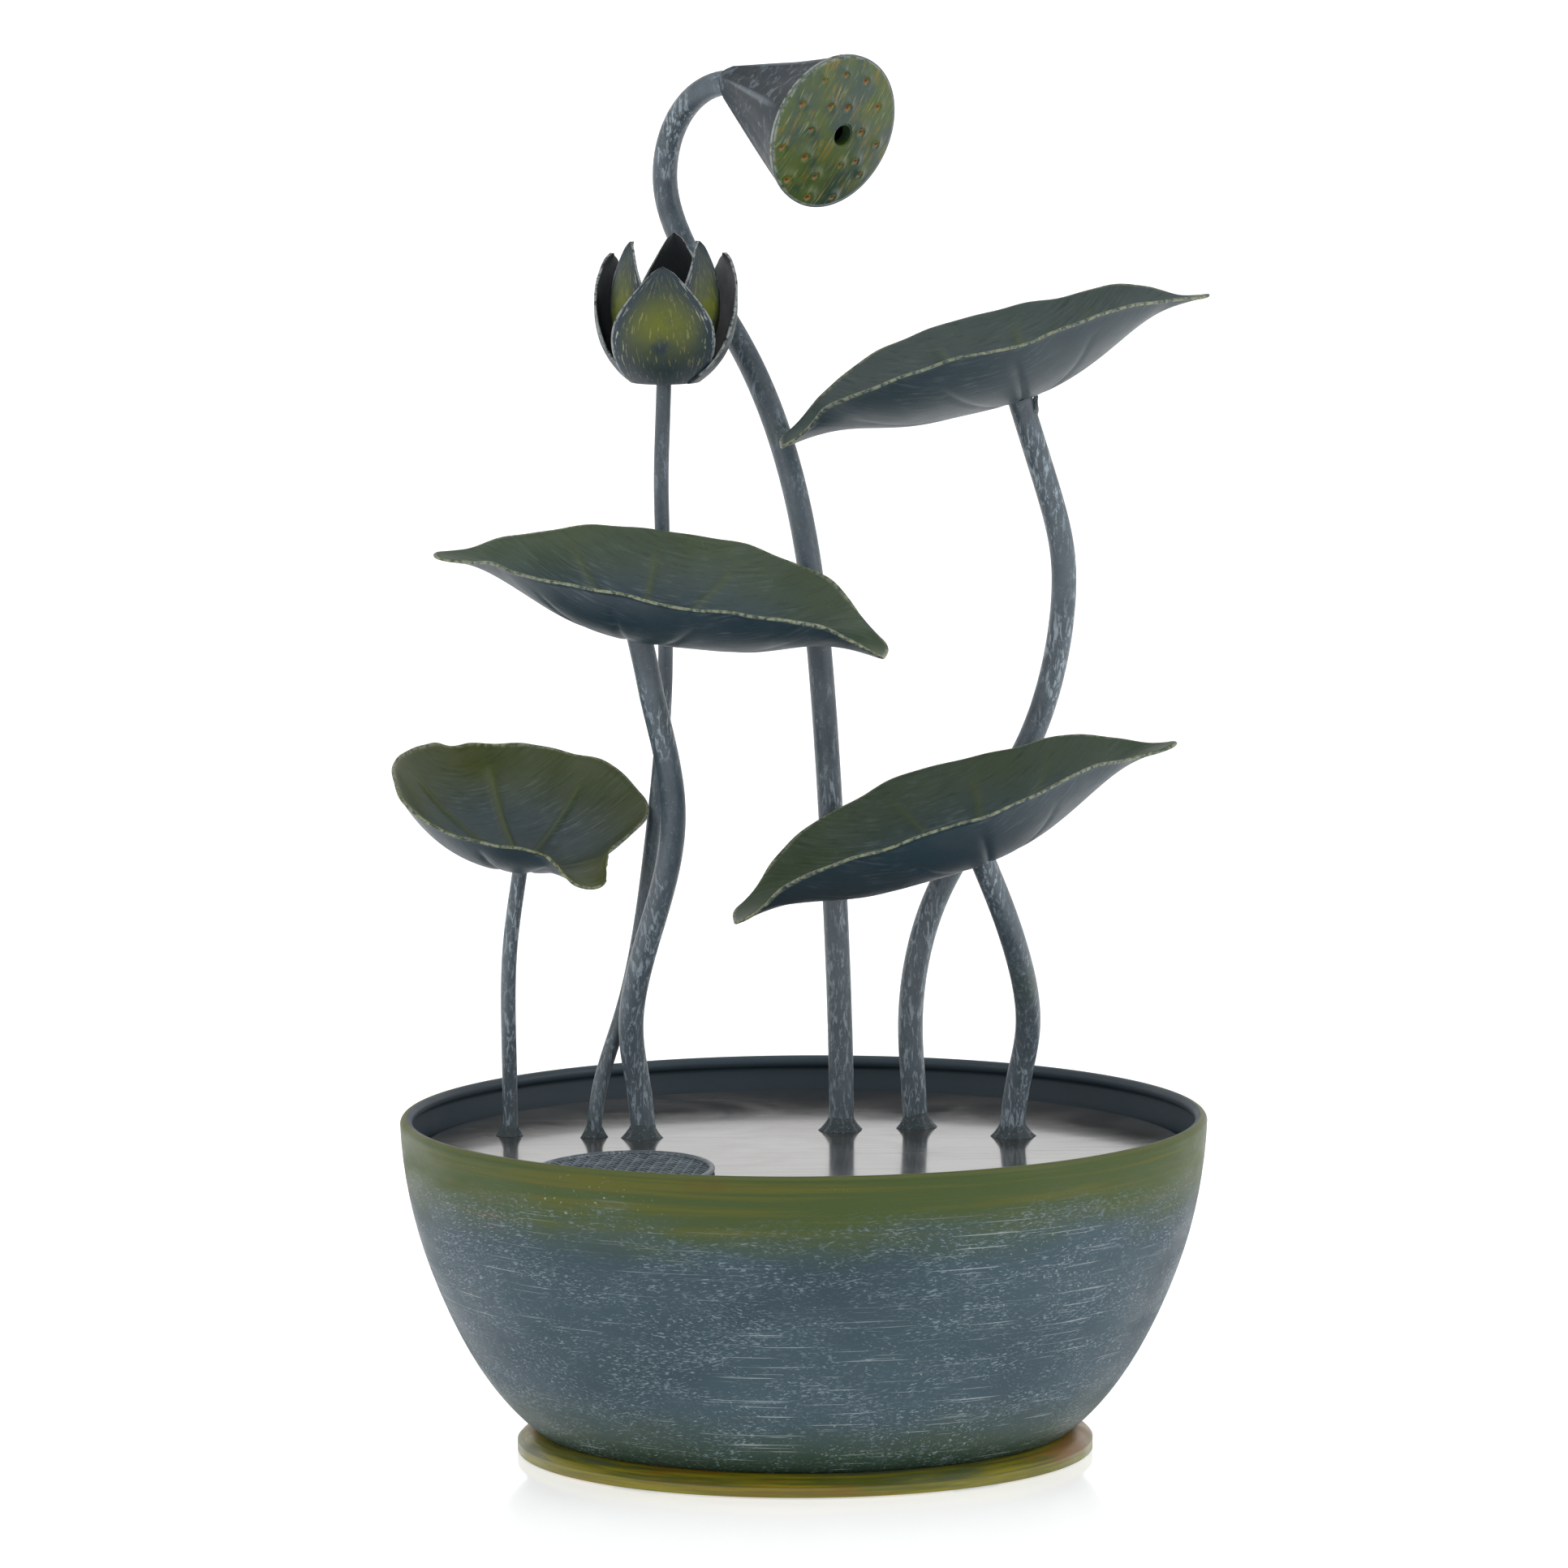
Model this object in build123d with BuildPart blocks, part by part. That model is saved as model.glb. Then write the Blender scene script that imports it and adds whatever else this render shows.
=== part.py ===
from build123d import *

import os
from math import cos, radians, sin

# Tabletop water fountain in painted sheet metal. Millimetres, +Z up, front towards -Y.
# The origin is on the table under the middle of the base plate.

# ---------------------------------------------------------------- driving dimensions
sheet = 1.0
running_gap = 0.05
slip_gap = 0.3

# Base plate and bowl
foot_proud = 0.6
plate_radius = 89.3
plate_side_top = 3.8
plate_top = 7.0
plate_sheet = 1.2
pad_radius = 7.0
pad_circle_radius = 74.0
bowl_foot_radius = 82.5
bowl_wall = [(95.3, 19.5), (110.8, 45.7), (120.3, 71.9), (123.5, 87.6)]
bowl_radius = 125.0
bowl_wall_top = 102.6
rim_bead = 1.9
rim_bead_z = 103.0
bowl_floor = plate_top + sheet

# Deck and its ledges
deck_top = 94.4
deck_radius = 119.5
deck_sheet = 1.2
deck_skirt = 7.0
ledge_width = 12.0
ledge_reach = 9.0
ledge_thick = 1.5
ledge_wall_gap = 2.2

# Strainer
strainer_centre = (-56.0, -52.0)
strainer_turn = 76.0
strainer_long, strainer_short = 38.0, 28.0
mesh_border = 3.0
strainer_wire = 0.9
opening_margin = 4.0
mesh_thick = 0.7
mesh_pitch = 3.2
mesh_hole = 2.3

# Stems
tube_radius = 3.9
tube_bore = 3.1
rod_radius = 2.35
weld_height = 4.5
weld_spread = 3.9
weld_lip = 1.4
sink = 0.3

# Water tube: its rise lies in one upright plane turned by spout_turn about the foot
spout_foot = (11.9, 35.0)
spout_turn = 135.0
spigot_length = 13.0
spout_rise = [(0.3, 120.0), (2.6, 170.0), (7.5, 233.0), (17.9, 290.1), (40.2, 334.6)]
spout_bend_start = (68.9, 369.2)
spout_lean = 39.7
spout_bend_radius = 31.0

# Seed pod
pod_drop_angle = 15.2
pod_turn = -48.7
pod_length = 48.3
pod_radius = 24.8
pod_neck_radius = 4.7
pod_overlap = 3.0
pod_sheet = 0.8
face_dome = 3.0
pod_waist_share, pod_waist_radius = 0.45, 12.6
face_set_back = 1.2
nozzle_outer, nozzle_bore = 4.0, 3.3
nozzle_proud = 0.8
nozzle_place = (1.6, -0.6)

# Flower
flower_centre = (-42.2, 41.0)
flower_base = 329.0
petal_sheet = 0.8
petal_widest_share = 0.42
petal_notch_share = 0.28
outer_petals = (11.5, 21.4, 17.5, 40.0)
inner_petals = (7.0, 16.8, 12.4, 44.5)

# Leaves: share of the length from the tail, half width, rim height, keel height
leaf_stations = [
    (0.00, 1.5, 12.2, 11.6),
    (0.04, 5.0, 13.2, 12.0),
    (0.08, 8.5, 15.0, 12.2),
    (0.13, 16.0, 18.0, 11.6),
    (0.20, 26.0, 20.3, 8.6),
    (0.32, 36.8, 22.0, 2.6),
    (0.47, 41.8, 23.5, 0.0),
    (0.60, 42.1, 24.5, 1.6),
    (0.72, 36.9, 24.1, 4.0),
    (0.82, 28.1, 22.6, 8.4),
    (0.885, 18.5, 19.6, 10.2),
    (0.93, 13.2, 15.8, 10.4),
    (0.97, 10.8, 13.0, 10.2),
    (1.00, 6.5, 11.4, 10.0),
]
small_leaf_stations = [
    (0.00, 6.0, 20.8, 18.6),
    (0.05, 17.0, 20.9, 13.6),
    (0.12, 26.5, 22.0, 9.6),
    (0.20, 33.0, 22.8, 6.6),
    (0.32, 39.6, 23.4, 3.0),
    (0.44, 43.2, 22.2, 0.9),
    (0.56, 43.0, 20.4, 0.0),
    (0.72, 32.0, 18.9, 4.6),
    (0.82, 18.5, 18.2, 8.4),
    (0.90, 9.8, 15.6, 9.6),
    (0.96, 7.6, 13.2, 10.2),
    (1.00, 4.6, 12.0, 10.6),
]
leaf_keel_share = 0.47
small_keel_share = 0.56

# Each leaf: where its stem meets it, (roll, pitch, yaw) and length
upper_place = Location((68.3, 30.0, 323.7), (-2.7, 19.0, 179.2), Extrinsic.XYZ)
middle_place = Location((-49.8, -10.0, 255.1), (7.7, 11.1, -6.9), Extrinsic.XYZ)
lower_place = Location((55.6, -12.0, 185.3), (-5.4, 21.3, 180.6), Extrinsic.XYZ)
small_place = Location((-87.4, 14.0, 180.6), (-1.1, 19.2, -55.4), Extrinsic.XYZ)
upper_length, middle_length, lower_length, small_length = 142.0, 144.2, 148.2, 86.8

# Stem centre lines from the deck up
upper_rise = [
    (35.0, 41.0),
    (33.6, 41.0, 128.0),
    (42.5, 41.0, 168.5),
    (71.0, 40.0, 216.0),
    (81.8, 36.5, 264.0),
]
middle_rise = [
    (-49.9, 22.5),
    (-53.5, 19.0, 130.0),
    (-43.7, 9.5, 173.0),
    (-40.0, 1.0, 204.0),
    (-46.0, -6.0, 236.0),
]
lower_rise = [(64.9, 20.0), (69.8, 13.0, 130.0), (65.2, -1.4, 158.5)]
small_rise = [(-91.4, 27.5), (-91.6, 22.0, 126.0), (-90.7, 16.9, 157.0)]
flower_rise = [
    (-65.3, 23.5),
    (-56.5, 26.9, 132.5),
    (-46.9, 31.7, 185.0),
    (-42.2, 38.5, 245.5),
    (-43.2, 41.0, 300.0),
]

# Pump: the rotor turns on an axis along Y
pump_x = 3.0
pump_width, pump_height = 40.0, 36.0
cup_height = 4.0
cup_radius = 6.5
pump_bottom = bowl_floor + cup_height
axis_z = pump_bottom + pump_height / 2
housing_front, housing_back = 41.0, 79.0
housing_wall = 2.0
front_wall = 3.0
well_radius, well_wall, well_end = 6.0, 1.2, 62.0
cover_front = 27.0
chamber_radius, chamber_front = 15.0, 30.5
inlet_radius = 6.0
pipe_radius, pipe_bore, pipe_top = 4.0, 3.0, 60.0
hose_outer, hose_top, hose_flare = 5.6, 90.0, 12.0
shaft_radius = 1.2
magnet_radius, magnet_front, magnet_back = 5.2, 42.5, 58.0
hub_radius = 4.0
vane_count, vane_thick, vane_reach = 6, 1.2, 13.0
vane_front, vane_back = 32.0, 38.0
shroud_thick = 1.2
ring_radius, ring_cord = 16.2, 0.6
groove_gap = 0.1
spoke_width = 1.6
pipe_rise = 6.0
leg_thick, leg_height = 5.0, 18.0
leg_front, yoke_front, yoke_back = 46.0, 67.5, 73.5
leg_gap = 0.3
coil_wall, coil_gap = 3.0, 0.5
bush_length = 2.5
spider_hub = 3.0
grille_front = 10.0
grille_wall = 1.2
grille_inset = 4.0
grille_slot, grille_slot_length = 2.2, 9.0
grille_pitch, grille_row_pitch = 6.0, 18.0
slider_x = 4.0
slider_travel = 8.0
slider_width, slider_height, slider_thick = 12.0, 8.0, 1.6
slider_neck, slider_button, button_thick = 1.5, 2.6, 1.2
cup_middle_y = 59.0
cup_pitch_x, cup_pitch_y = 26.0, 24.0

# Cord and plug
cord_radius = 2.0
cord_entry_z = 42.0
grommet_z = 80.0
grommet_radius, grommet_flange, grommet_length = 4.0, 5.5, 7.5
plug_start = (48.0, 152.0, 5.0)
plug_radius, plug_length = 5.0, 28.0
pin_radius, pin_bore, pin_length = 2.75, 1.05, 9.5

os.makedirs("parts", exist_ok=True)


def save(piece, name):
    """Label a finished sub-part and write its STEP file."""
    piece.part.label = name
    export_step(piece.part, f"parts/{name}.step")


def along_y(y, z=axis_z):
    """Plane across the pump axis at y, with local x along -X and normal along +Y."""
    return Plane(origin=(pump_x, y, z), x_dir=(-1, 0, 0), z_dir=(0, 1, 0))


# ---------------------------------------------------------------- base and bowl
with BuildPart() as base_plate:
    with BuildSketch(Plane.XZ):
        with BuildLine():
            Polyline((0, plate_top), (0, foot_proud), (plate_radius, foot_proud),
                     (plate_radius, plate_side_top))
            TangentArc((plate_radius, plate_side_top), (bowl_foot_radius, plate_top), tangent=(-0.8, 1))
            Line((bowl_foot_radius, plate_top), (0, plate_top))
        make_face()
    revolve(axis=Axis.Z)
    offset(amount=-plate_sheet, openings=base_plate.faces().sort_by(Axis.Z)[0])
save(base_plate, "base_plate")

with BuildPart() as foot_pads:
    with BuildSketch():
        Circle(pad_radius)
        with PolarLocations(pad_circle_radius, 4, start_angle=45):
            Circle(pad_radius)
    extrude(amount=plate_top - plate_sheet)
save(foot_pads, "foot_pads")

with BuildPart() as bowl:
    with BuildSketch(Plane.XZ):
        with BuildLine():
            Line((0, plate_top), (bowl_foot_radius, plate_top))
            Spline((bowl_foot_radius, plate_top), *bowl_wall, (bowl_radius, bowl_wall_top))
            Polyline((bowl_radius, bowl_wall_top), (0, bowl_wall_top), (0, plate_top))
        make_face()
    revolve(axis=Axis.Z)
    offset(amount=-sheet, openings=bowl.faces().sort_by(Axis.Z)[-1])
    with BuildSketch(Plane.XZ):
        with Locations((bowl_radius - rim_bead, rim_bead_z)):
            Circle(rim_bead)
    revolve(axis=Axis.Z)
    with BuildSketch(Plane.XZ.offset(-bowl_radius)):
        with Locations((0, grommet_z)):
            Circle(grommet_radius)
    extrude(amount=2 * ledge_reach, mode=Mode.SUBTRACT)
save(bowl, "bowl")

with BuildPart() as deck_ledges:
    with BuildSketch(Plane.XY.offset(deck_top - deck_skirt - running_gap)):
        with PolarLocations(bowl_radius - ledge_wall_gap - ledge_reach / 2, 4, start_angle=45):
            Rectangle(ledge_reach, ledge_width)
    extrude(amount=-ledge_thick)
    add(bowl.part, mode=Mode.SUBTRACT)
save(deck_ledges, "deck_ledges")

# ---------------------------------------------------------------- cord
with BuildPart() as cord_grommet:
    with BuildSketch(Plane.XZ.offset(-bowl_radius)):
        with Locations((0, grommet_z)):
            Circle(grommet_flange)
            Circle(cord_radius, mode=Mode.SUBTRACT)
    extrude(amount=grommet_length)
    add(bowl.part, mode=Mode.SUBTRACT)
save(cord_grommet, "cord_grommet")

with BuildPart() as power_cord:
    with BuildLine() as cord_line:
        Spline((pump_x, housing_back, cord_entry_z), (1.0, 98.0, 62.0), (0, 112.0, grommet_z),
               tangents=((0, 1, 0), (0, 1, 0)))
        Line((0, 112.0, grommet_z), (0, bowl_radius + 3, grommet_z))
        Spline((0, bowl_radius + 3, grommet_z), (1.0, 143.0, 62.0), (6.0, 148.0, 20.0), plug_start,
               tangents=((0, 1, 0), (1, 0, 0)))
    with BuildSketch(Plane(origin=cord_line.line @ 0, z_dir=cord_line.line % 0)):
        Circle(cord_radius)
    sweep(path=cord_line.line)
save(power_cord, "power_cord")

with BuildPart() as dc_plug:
    with BuildSketch(Plane(origin=plug_start, z_dir=(1, 0, 0))):
        Circle(plug_radius)
    extrude(amount=plug_length)
    fillet(dc_plug.edges().filter_by(GeomType.CIRCLE), radius=1.2)
    with BuildSketch(Plane(origin=plug_start, z_dir=(1, 0, 0)).offset(plug_length)):
        Circle(pin_radius)
    extrude(amount=pin_length)
    with BuildSketch(Plane(origin=plug_start, z_dir=(1, 0, 0)).offset(plug_length + pin_length)):
        Circle(pin_bore)
    extrude(amount=-pin_length, mode=Mode.SUBTRACT)
save(dc_plug, "dc_plug")

# ---------------------------------------------------------------- pump
with BuildPart() as pump_housing:
    with BuildSketch(along_y(housing_front)):
        RectangleRounded(pump_width, pump_height, 3)
    extrude(amount=housing_back - housing_front)
    with BuildSketch(along_y(housing_front + front_wall)):
        RectangleRounded(pump_width - 2 * housing_wall, pump_height - 2 * housing_wall, 2)
    extrude(amount=housing_back - housing_front - front_wall, mode=Mode.SUBTRACT)
    with BuildSketch(along_y(housing_front)):
        Circle(well_radius + well_wall)
    extrude(amount=well_end + well_wall - housing_front)
    with BuildSketch(along_y(housing_front)):
        Circle(well_radius)
    extrude(amount=well_end - housing_front, mode=Mode.SUBTRACT)
save(pump_housing, "pump_housing")

with BuildPart() as pump_back_cover:
    with BuildSketch(along_y(housing_back)):
        RectangleRounded(pump_width - 2 * housing_wall, pump_height - 2 * housing_wall, 2)
        with Locations((0, cord_entry_z - axis_z)):
            Circle(cord_radius, mode=Mode.SUBTRACT)
    extrude(amount=-housing_wall)
save(pump_back_cover, "pump_back_cover")

leg_inner = well_radius + well_wall + leg_gap
with BuildPart() as stator_core:
    with BuildSketch(Plane.XY.offset(axis_z - leg_height / 2)):
        with Locations((pump_x, (leg_front + yoke_back) / 2)):
            Rectangle(2 * (leg_inner + leg_thick), yoke_back - leg_front)
        with Locations((pump_x, (leg_front + yoke_front) / 2)):
            Rectangle(2 * leg_inner, yoke_front - leg_front, mode=Mode.SUBTRACT)
    extrude(amount=leg_height)
save(stator_core, "stator_core")

coil_centre = (pump_x, (yoke_front + yoke_back) / 2, axis_z)
with BuildPart() as coil:
    with BuildSketch(Plane(origin=coil_centre, x_dir=(0, 1, 0), z_dir=(1, 0, 0))):
        RectangleRounded(yoke_back - yoke_front + 2 * coil_wall, leg_height + 2 * coil_wall, 2)
        Rectangle(yoke_back - yoke_front, leg_height, mode=Mode.SUBTRACT)
    extrude(amount=leg_inner - coil_gap, both=True)
save(coil, "coil")

with BuildPart() as rotor_shaft:
    with BuildSketch(along_y(cover_front)):
        Circle(shaft_radius)
    extrude(amount=well_end - cover_front)
save(rotor_shaft, "rotor_shaft")

with BuildPart() as shaft_bushes:
    with BuildSketch(along_y(well_end - bush_length)):
        Circle(well_radius)
        Circle(shaft_radius, mode=Mode.SUBTRACT)
    extrude(amount=bush_length)
    with BuildSketch(along_y(cover_front)):
        Circle(spider_hub)
        Circle(shaft_radius, mode=Mode.SUBTRACT)
    extrude(amount=bush_length)
save(shaft_bushes, "shaft_bushes")

with BuildPart() as rotor_magnet:
    with BuildSketch(along_y(magnet_front)):
        Circle(magnet_radius)
        Circle(shaft_radius + running_gap, mode=Mode.SUBTRACT)
    extrude(amount=magnet_back - magnet_front)
save(rotor_magnet, "rotor_magnet")

with BuildPart() as impeller:
    with BuildSketch(along_y(vane_front)):
        Circle(hub_radius)
        with PolarLocations(vane_reach / 2, vane_count):
            Rectangle(vane_reach, vane_thick)
    extrude(amount=vane_back - vane_front)
    with BuildSketch(along_y(vane_back)):
        Circle(vane_reach)
    extrude(amount=shroud_thick)
    with BuildSketch(along_y(vane_back)):
        Circle(hub_radius)
    extrude(amount=magnet_front - vane_back)
    with BuildSketch(along_y(vane_front)):
        Circle(shaft_radius + running_gap)
    extrude(amount=magnet_front - vane_front, mode=Mode.SUBTRACT)
save(impeller, "impeller")

with BuildPart() as volute_cover:
    with BuildSketch(along_y(cover_front)):
        RectangleRounded(pump_width, pump_height, 3)
    extrude(amount=housing_front - cover_front)
    with BuildSketch(Plane(origin=(*spout_foot, axis_z))):
        Circle(pipe_radius)
    extrude(amount=pipe_top - axis_z)
    with BuildSketch(along_y(chamber_front)):
        Circle(chamber_radius)
    extrude(amount=housing_front - chamber_front, mode=Mode.SUBTRACT)
    with BuildSketch(along_y(cover_front)):
        Circle(inlet_radius)
        with PolarLocations(inlet_radius / 2, 3, start_angle=90):
            Rectangle(inlet_radius, spoke_width, mode=Mode.SUBTRACT)
        Circle(spider_hub, mode=Mode.SUBTRACT)
    extrude(amount=chamber_front - cover_front, mode=Mode.SUBTRACT)
    with BuildSketch(along_y(cover_front)):
        Circle(spider_hub)
    extrude(amount=bush_length, mode=Mode.SUBTRACT)
    with BuildSketch(along_y(cover_front)):
        Circle(shaft_radius + running_gap)
    extrude(amount=chamber_front - cover_front, mode=Mode.SUBTRACT)
    with BuildSketch(along_y(housing_front)):
        Circle(ring_radius + ring_cord + groove_gap)
        Circle(ring_radius - ring_cord - groove_gap, mode=Mode.SUBTRACT)
    extrude(amount=-2 * ring_cord, mode=Mode.SUBTRACT)
    with BuildSketch(Plane(origin=(*spout_foot, axis_z + pipe_rise))):
        Circle(pipe_bore)
    extrude(amount=pipe_top, mode=Mode.SUBTRACT)
save(volute_cover, "volute_cover")

with BuildPart() as cover_o_ring:
    with BuildSketch(Plane(origin=(pump_x, housing_front - ring_cord, axis_z), z_dir=(0, 0, 1))):
        with Locations((ring_radius, 0)):
            Circle(ring_cord)
    revolve(axis=Axis((pump_x, 0, axis_z), (0, 1, 0)))
save(cover_o_ring, "cover_o_ring")

slot_half = slider_neck + running_gap
grille_width, grille_height = pump_width - grille_inset, pump_height - grille_inset
with BuildPart() as intake_grille:
    with BuildSketch(along_y(grille_front)):
        RectangleRounded(grille_width, grille_height, 3)
    extrude(amount=cover_front - running_gap - grille_front)
    with BuildSketch(along_y(grille_front + grille_wall)):
        RectangleRounded(grille_width - 2 * grille_wall, grille_height - 2 * grille_wall, 2)
    extrude(amount=cover_front, mode=Mode.SUBTRACT)
    with BuildSketch(along_y(grille_front)):
        with GridLocations(grille_pitch, grille_row_pitch, 5, 2):
            Rectangle(grille_slot, grille_slot_length)
        with Locations((slider_x - slider_travel / 2, 0)):
            SlotCenterToCenter(slider_travel, 2 * slot_half)
    extrude(amount=grille_wall, mode=Mode.SUBTRACT)
save(intake_grille, "intake_grille")

with BuildPart() as flow_slider:
    with BuildSketch(along_y(grille_front - running_gap)):
        with Locations((slider_x, 0)):
            RectangleRounded(slider_width, slider_height, 1.5)
    extrude(amount=-slider_thick)
    with BuildSketch(along_y(grille_front - running_gap)):
        with Locations((slider_x, 0)):
            Circle(slider_neck)
    extrude(amount=grille_wall + 2 * running_gap)
    with BuildSketch(along_y(grille_front + grille_wall + running_gap)):
        with Locations((slider_x, 0)):
            Circle(slider_button)
    extrude(amount=button_thick)
save(flow_slider, "flow_slider")

with BuildPart() as suction_cups:
    with BuildSketch(Plane.XY.offset(bowl_floor)):
        with Locations((pump_x, cup_middle_y)):
            with GridLocations(cup_pitch_x, cup_pitch_y, 2, 2):
                Circle(cup_radius)
    extrude(amount=cup_height, taper=28)
save(suction_cups, "suction_cups")

with BuildPart() as hose:
    with BuildSketch(Plane(origin=(*spout_foot, pump_bottom + pump_height))):
        Circle(hose_outer)
        Circle(pipe_radius, mode=Mode.SUBTRACT)
    extrude(amount=hose_top - pump_bottom - pump_height)
    with BuildSketch(Plane(origin=(*spout_foot, hose_top))):
        Circle(tube_radius + slip_gap)
    extrude(amount=-hose_flare, mode=Mode.SUBTRACT)
save(hose, "hose")

# ---------------------------------------------------------------- deck and strainer
with BuildPart() as deck:
    with BuildSketch(Plane.XY.offset(deck_top - deck_skirt)):
        Circle(deck_radius)
    extrude(amount=deck_skirt)
    fillet(deck.faces().sort_by(Axis.Z)[-1].edges(), radius=1.4)
    offset(amount=-deck_sheet, openings=deck.faces().sort_by(Axis.Z)[0])
    with BuildSketch(Plane.XY.offset(deck_top)):
        with Locations(spout_foot):
            Circle(tube_bore)
        with Locations(Location((*strainer_centre, 0), (0, 0, strainer_turn))):
            Ellipse(strainer_long - opening_margin, strainer_short - opening_margin)
    extrude(amount=-deck_skirt, mode=Mode.SUBTRACT)
save(deck, "deck")

strainer_base = Plane((*strainer_centre, deck_top + running_gap)).rotated((0, 0, strainer_turn))
with BuildPart() as strainer_ring:
    with BuildLine(strainer_base.offset(strainer_wire)) as ring_line:
        EllipticalCenterArc((0, 0), strainer_long - strainer_wire, strainer_short - strainer_wire,
                            0, arc_size=360)
    with BuildSketch(Plane(origin=ring_line.line @ 0, z_dir=ring_line.line % 0)):
        Circle(strainer_wire)
    sweep(path=ring_line.line)
save(strainer_ring, "strainer_ring")

with BuildPart() as strainer_mesh:
    with BuildSketch(strainer_base):
        Ellipse(strainer_long - strainer_wire, strainer_short - strainer_wire)
        Ellipse(strainer_long - mesh_border, strainer_short - mesh_border, mode=Mode.SUBTRACT)
    extrude(amount=mesh_thick)
    with BuildSketch(strainer_base):
        Ellipse(strainer_long - mesh_border, strainer_short - mesh_border)
        with Locations(Rotation(0, 0, 45)):
            with GridLocations(mesh_pitch, mesh_pitch, 25, 25):
                Rectangle(mesh_hole, mesh_hole, mode=Mode.SUBTRACT)
    extrude(amount=mesh_thick)
save(strainer_mesh, "strainer_mesh")


# ---------------------------------------------------------------- stems
def leaf_contact(place):
    """The plane that touches the underside of a leaf where its stem is welded, raised by the weld depth."""
    return Plane(place).offset(sink)


def stem(rise, top, top_direction, radius, end_plane):
    """A stem swept along its centre line, cut flat on the deck and at its top."""
    foot_x, foot_y = rise[0]
    start = Vector(foot_x, foot_y, deck_top - 2)
    finish = Vector(*top) + Vector(*top_direction).normalized() * 3
    with BuildPart() as piece:
        with BuildLine() as line:
            Spline(start, *rise[1:], finish, tangents=((0, 0, 1), top_direction))
        with BuildSketch(Plane(origin=line.line @ 0, z_dir=line.line % 0)):
            Circle(radius)
        sweep(path=line.line)
        split(bisect_by=Plane.XY.offset(deck_top), keep=Keep.TOP)
        split(bisect_by=end_plane, keep=Keep.BOTTOM)
    return piece


for stem_name, rise, place, lean, radius in (
    ("upper_leaf_stem", upper_rise, upper_place, (-0.28, -0.1, 0.95), tube_radius),
    ("middle_leaf_stem", middle_rise, middle_place, (-0.22, -0.15, 0.96), tube_radius),
    ("lower_leaf_stem", lower_rise, lower_place, (-0.35, -0.35, 0.87), tube_radius),
    ("small_leaf_stem", small_rise, small_place, (0.12, -0.18, 0.97), rod_radius),
):
    save(stem(rise, place.position, lean, radius, leaf_contact(place)), stem_name)
flower_top = (*flower_centre, flower_base)
save(stem(flower_rise, flower_top, (0.02, 0.0, 1.0), rod_radius, Plane(flower_top)), "flower_stem")

spout_heading = Vector(cos(radians(spout_turn)), sin(radians(spout_turn)), 0)
spout_side = spout_heading.cross(Vector(0, 0, 1))
spout_plane = Plane(origin=(*spout_foot, 0), x_dir=spout_heading, z_dir=spout_side)
bend_x = spout_bend_start[0] - spout_bend_radius * cos(radians(spout_lean))
bend_z = spout_bend_start[1] + spout_bend_radius * sin(radians(spout_lean))
bend = [
    (bend_x + spout_bend_radius * cos(radians(turn)), bend_z + spout_bend_radius * sin(radians(turn)))
    for turn in (-spout_lean, -7.0, 25.0, 57.0, 90.0)
]
with BuildPart() as spout_stem:
    with BuildLine(spout_plane) as spout_line:
        Spline((0, deck_top), *spout_rise, *bend, tangents=(Vector(0, 0, 1), -1 * spout_heading))
    spout_start = Plane(origin=spout_line.line @ 0, z_dir=spout_line.line % 0)
    with BuildSketch(spout_start):
        Circle(tube_radius)
    sweep(path=spout_line.line)
    with BuildSketch(spout_start):
        Circle(tube_bore)
    sweep(path=spout_line.line, mode=Mode.SUBTRACT)
save(spout_stem, "spout_stem")

with BuildPart() as spigot:
    with BuildSketch(Plane(origin=(*spout_foot, deck_top - deck_sheet))):
        Circle(tube_radius)
        Circle(tube_bore, mode=Mode.SUBTRACT)
    extrude(amount=-spigot_length)
save(spigot, "spigot")

with BuildPart() as foot_welds:
    for foot_x, foot_y in (upper_rise[0], middle_rise[0], lower_rise[0], spout_foot):
        with Locations((foot_x, foot_y, deck_top + weld_height / 2)):
            Cone(tube_radius + weld_spread, tube_radius + weld_lip, weld_height)
    for foot_x, foot_y in (small_rise[0], flower_rise[0]):
        with Locations((foot_x, foot_y, deck_top + weld_height / 2)):
            Cone(rod_radius + weld_spread, rod_radius + weld_lip, weld_height)
    with BuildSketch(Plane.XY.offset(deck_top)):
        with Locations(spout_foot):
            Circle(tube_radius)
    extrude(amount=weld_height, mode=Mode.SUBTRACT)
save(foot_welds, "foot_welds")

# ---------------------------------------------------------------- seed pod
pod_start = spout_line.line @ 1
pod_heading = Vector(
    cos(radians(pod_turn)) * cos(radians(pod_drop_angle)),
    sin(radians(pod_turn)) * cos(radians(pod_drop_angle)),
    -sin(radians(pod_drop_angle)),
)
pod_side = pod_heading.cross(Vector(0, 0, 1))
pod_frame = Plane(origin=pod_start - pod_overlap * pod_heading, x_dir=pod_heading, z_dir=pod_side)
pod_axis = Axis(pod_frame.origin, pod_heading)
pod_end = pod_length + pod_overlap
pod_waist = (pod_waist_share * pod_end, pod_waist_radius)
with BuildPart() as pod_cone:
    with BuildSketch(pod_frame):
        with BuildLine():
            Spline((0, pod_neck_radius), pod_waist, (pod_end, pod_radius))
            Line((pod_end, pod_radius), (pod_end, pod_radius - pod_sheet))
            Spline((pod_end, pod_radius - pod_sheet), (pod_waist[0], pod_waist[1] - pod_sheet),
                   (0, pod_neck_radius - pod_sheet))
            Line((0, pod_neck_radius - pod_sheet), (0, pod_neck_radius))
        make_face()
    revolve(axis=pod_axis)
save(pod_cone, "pod_cone")

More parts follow.
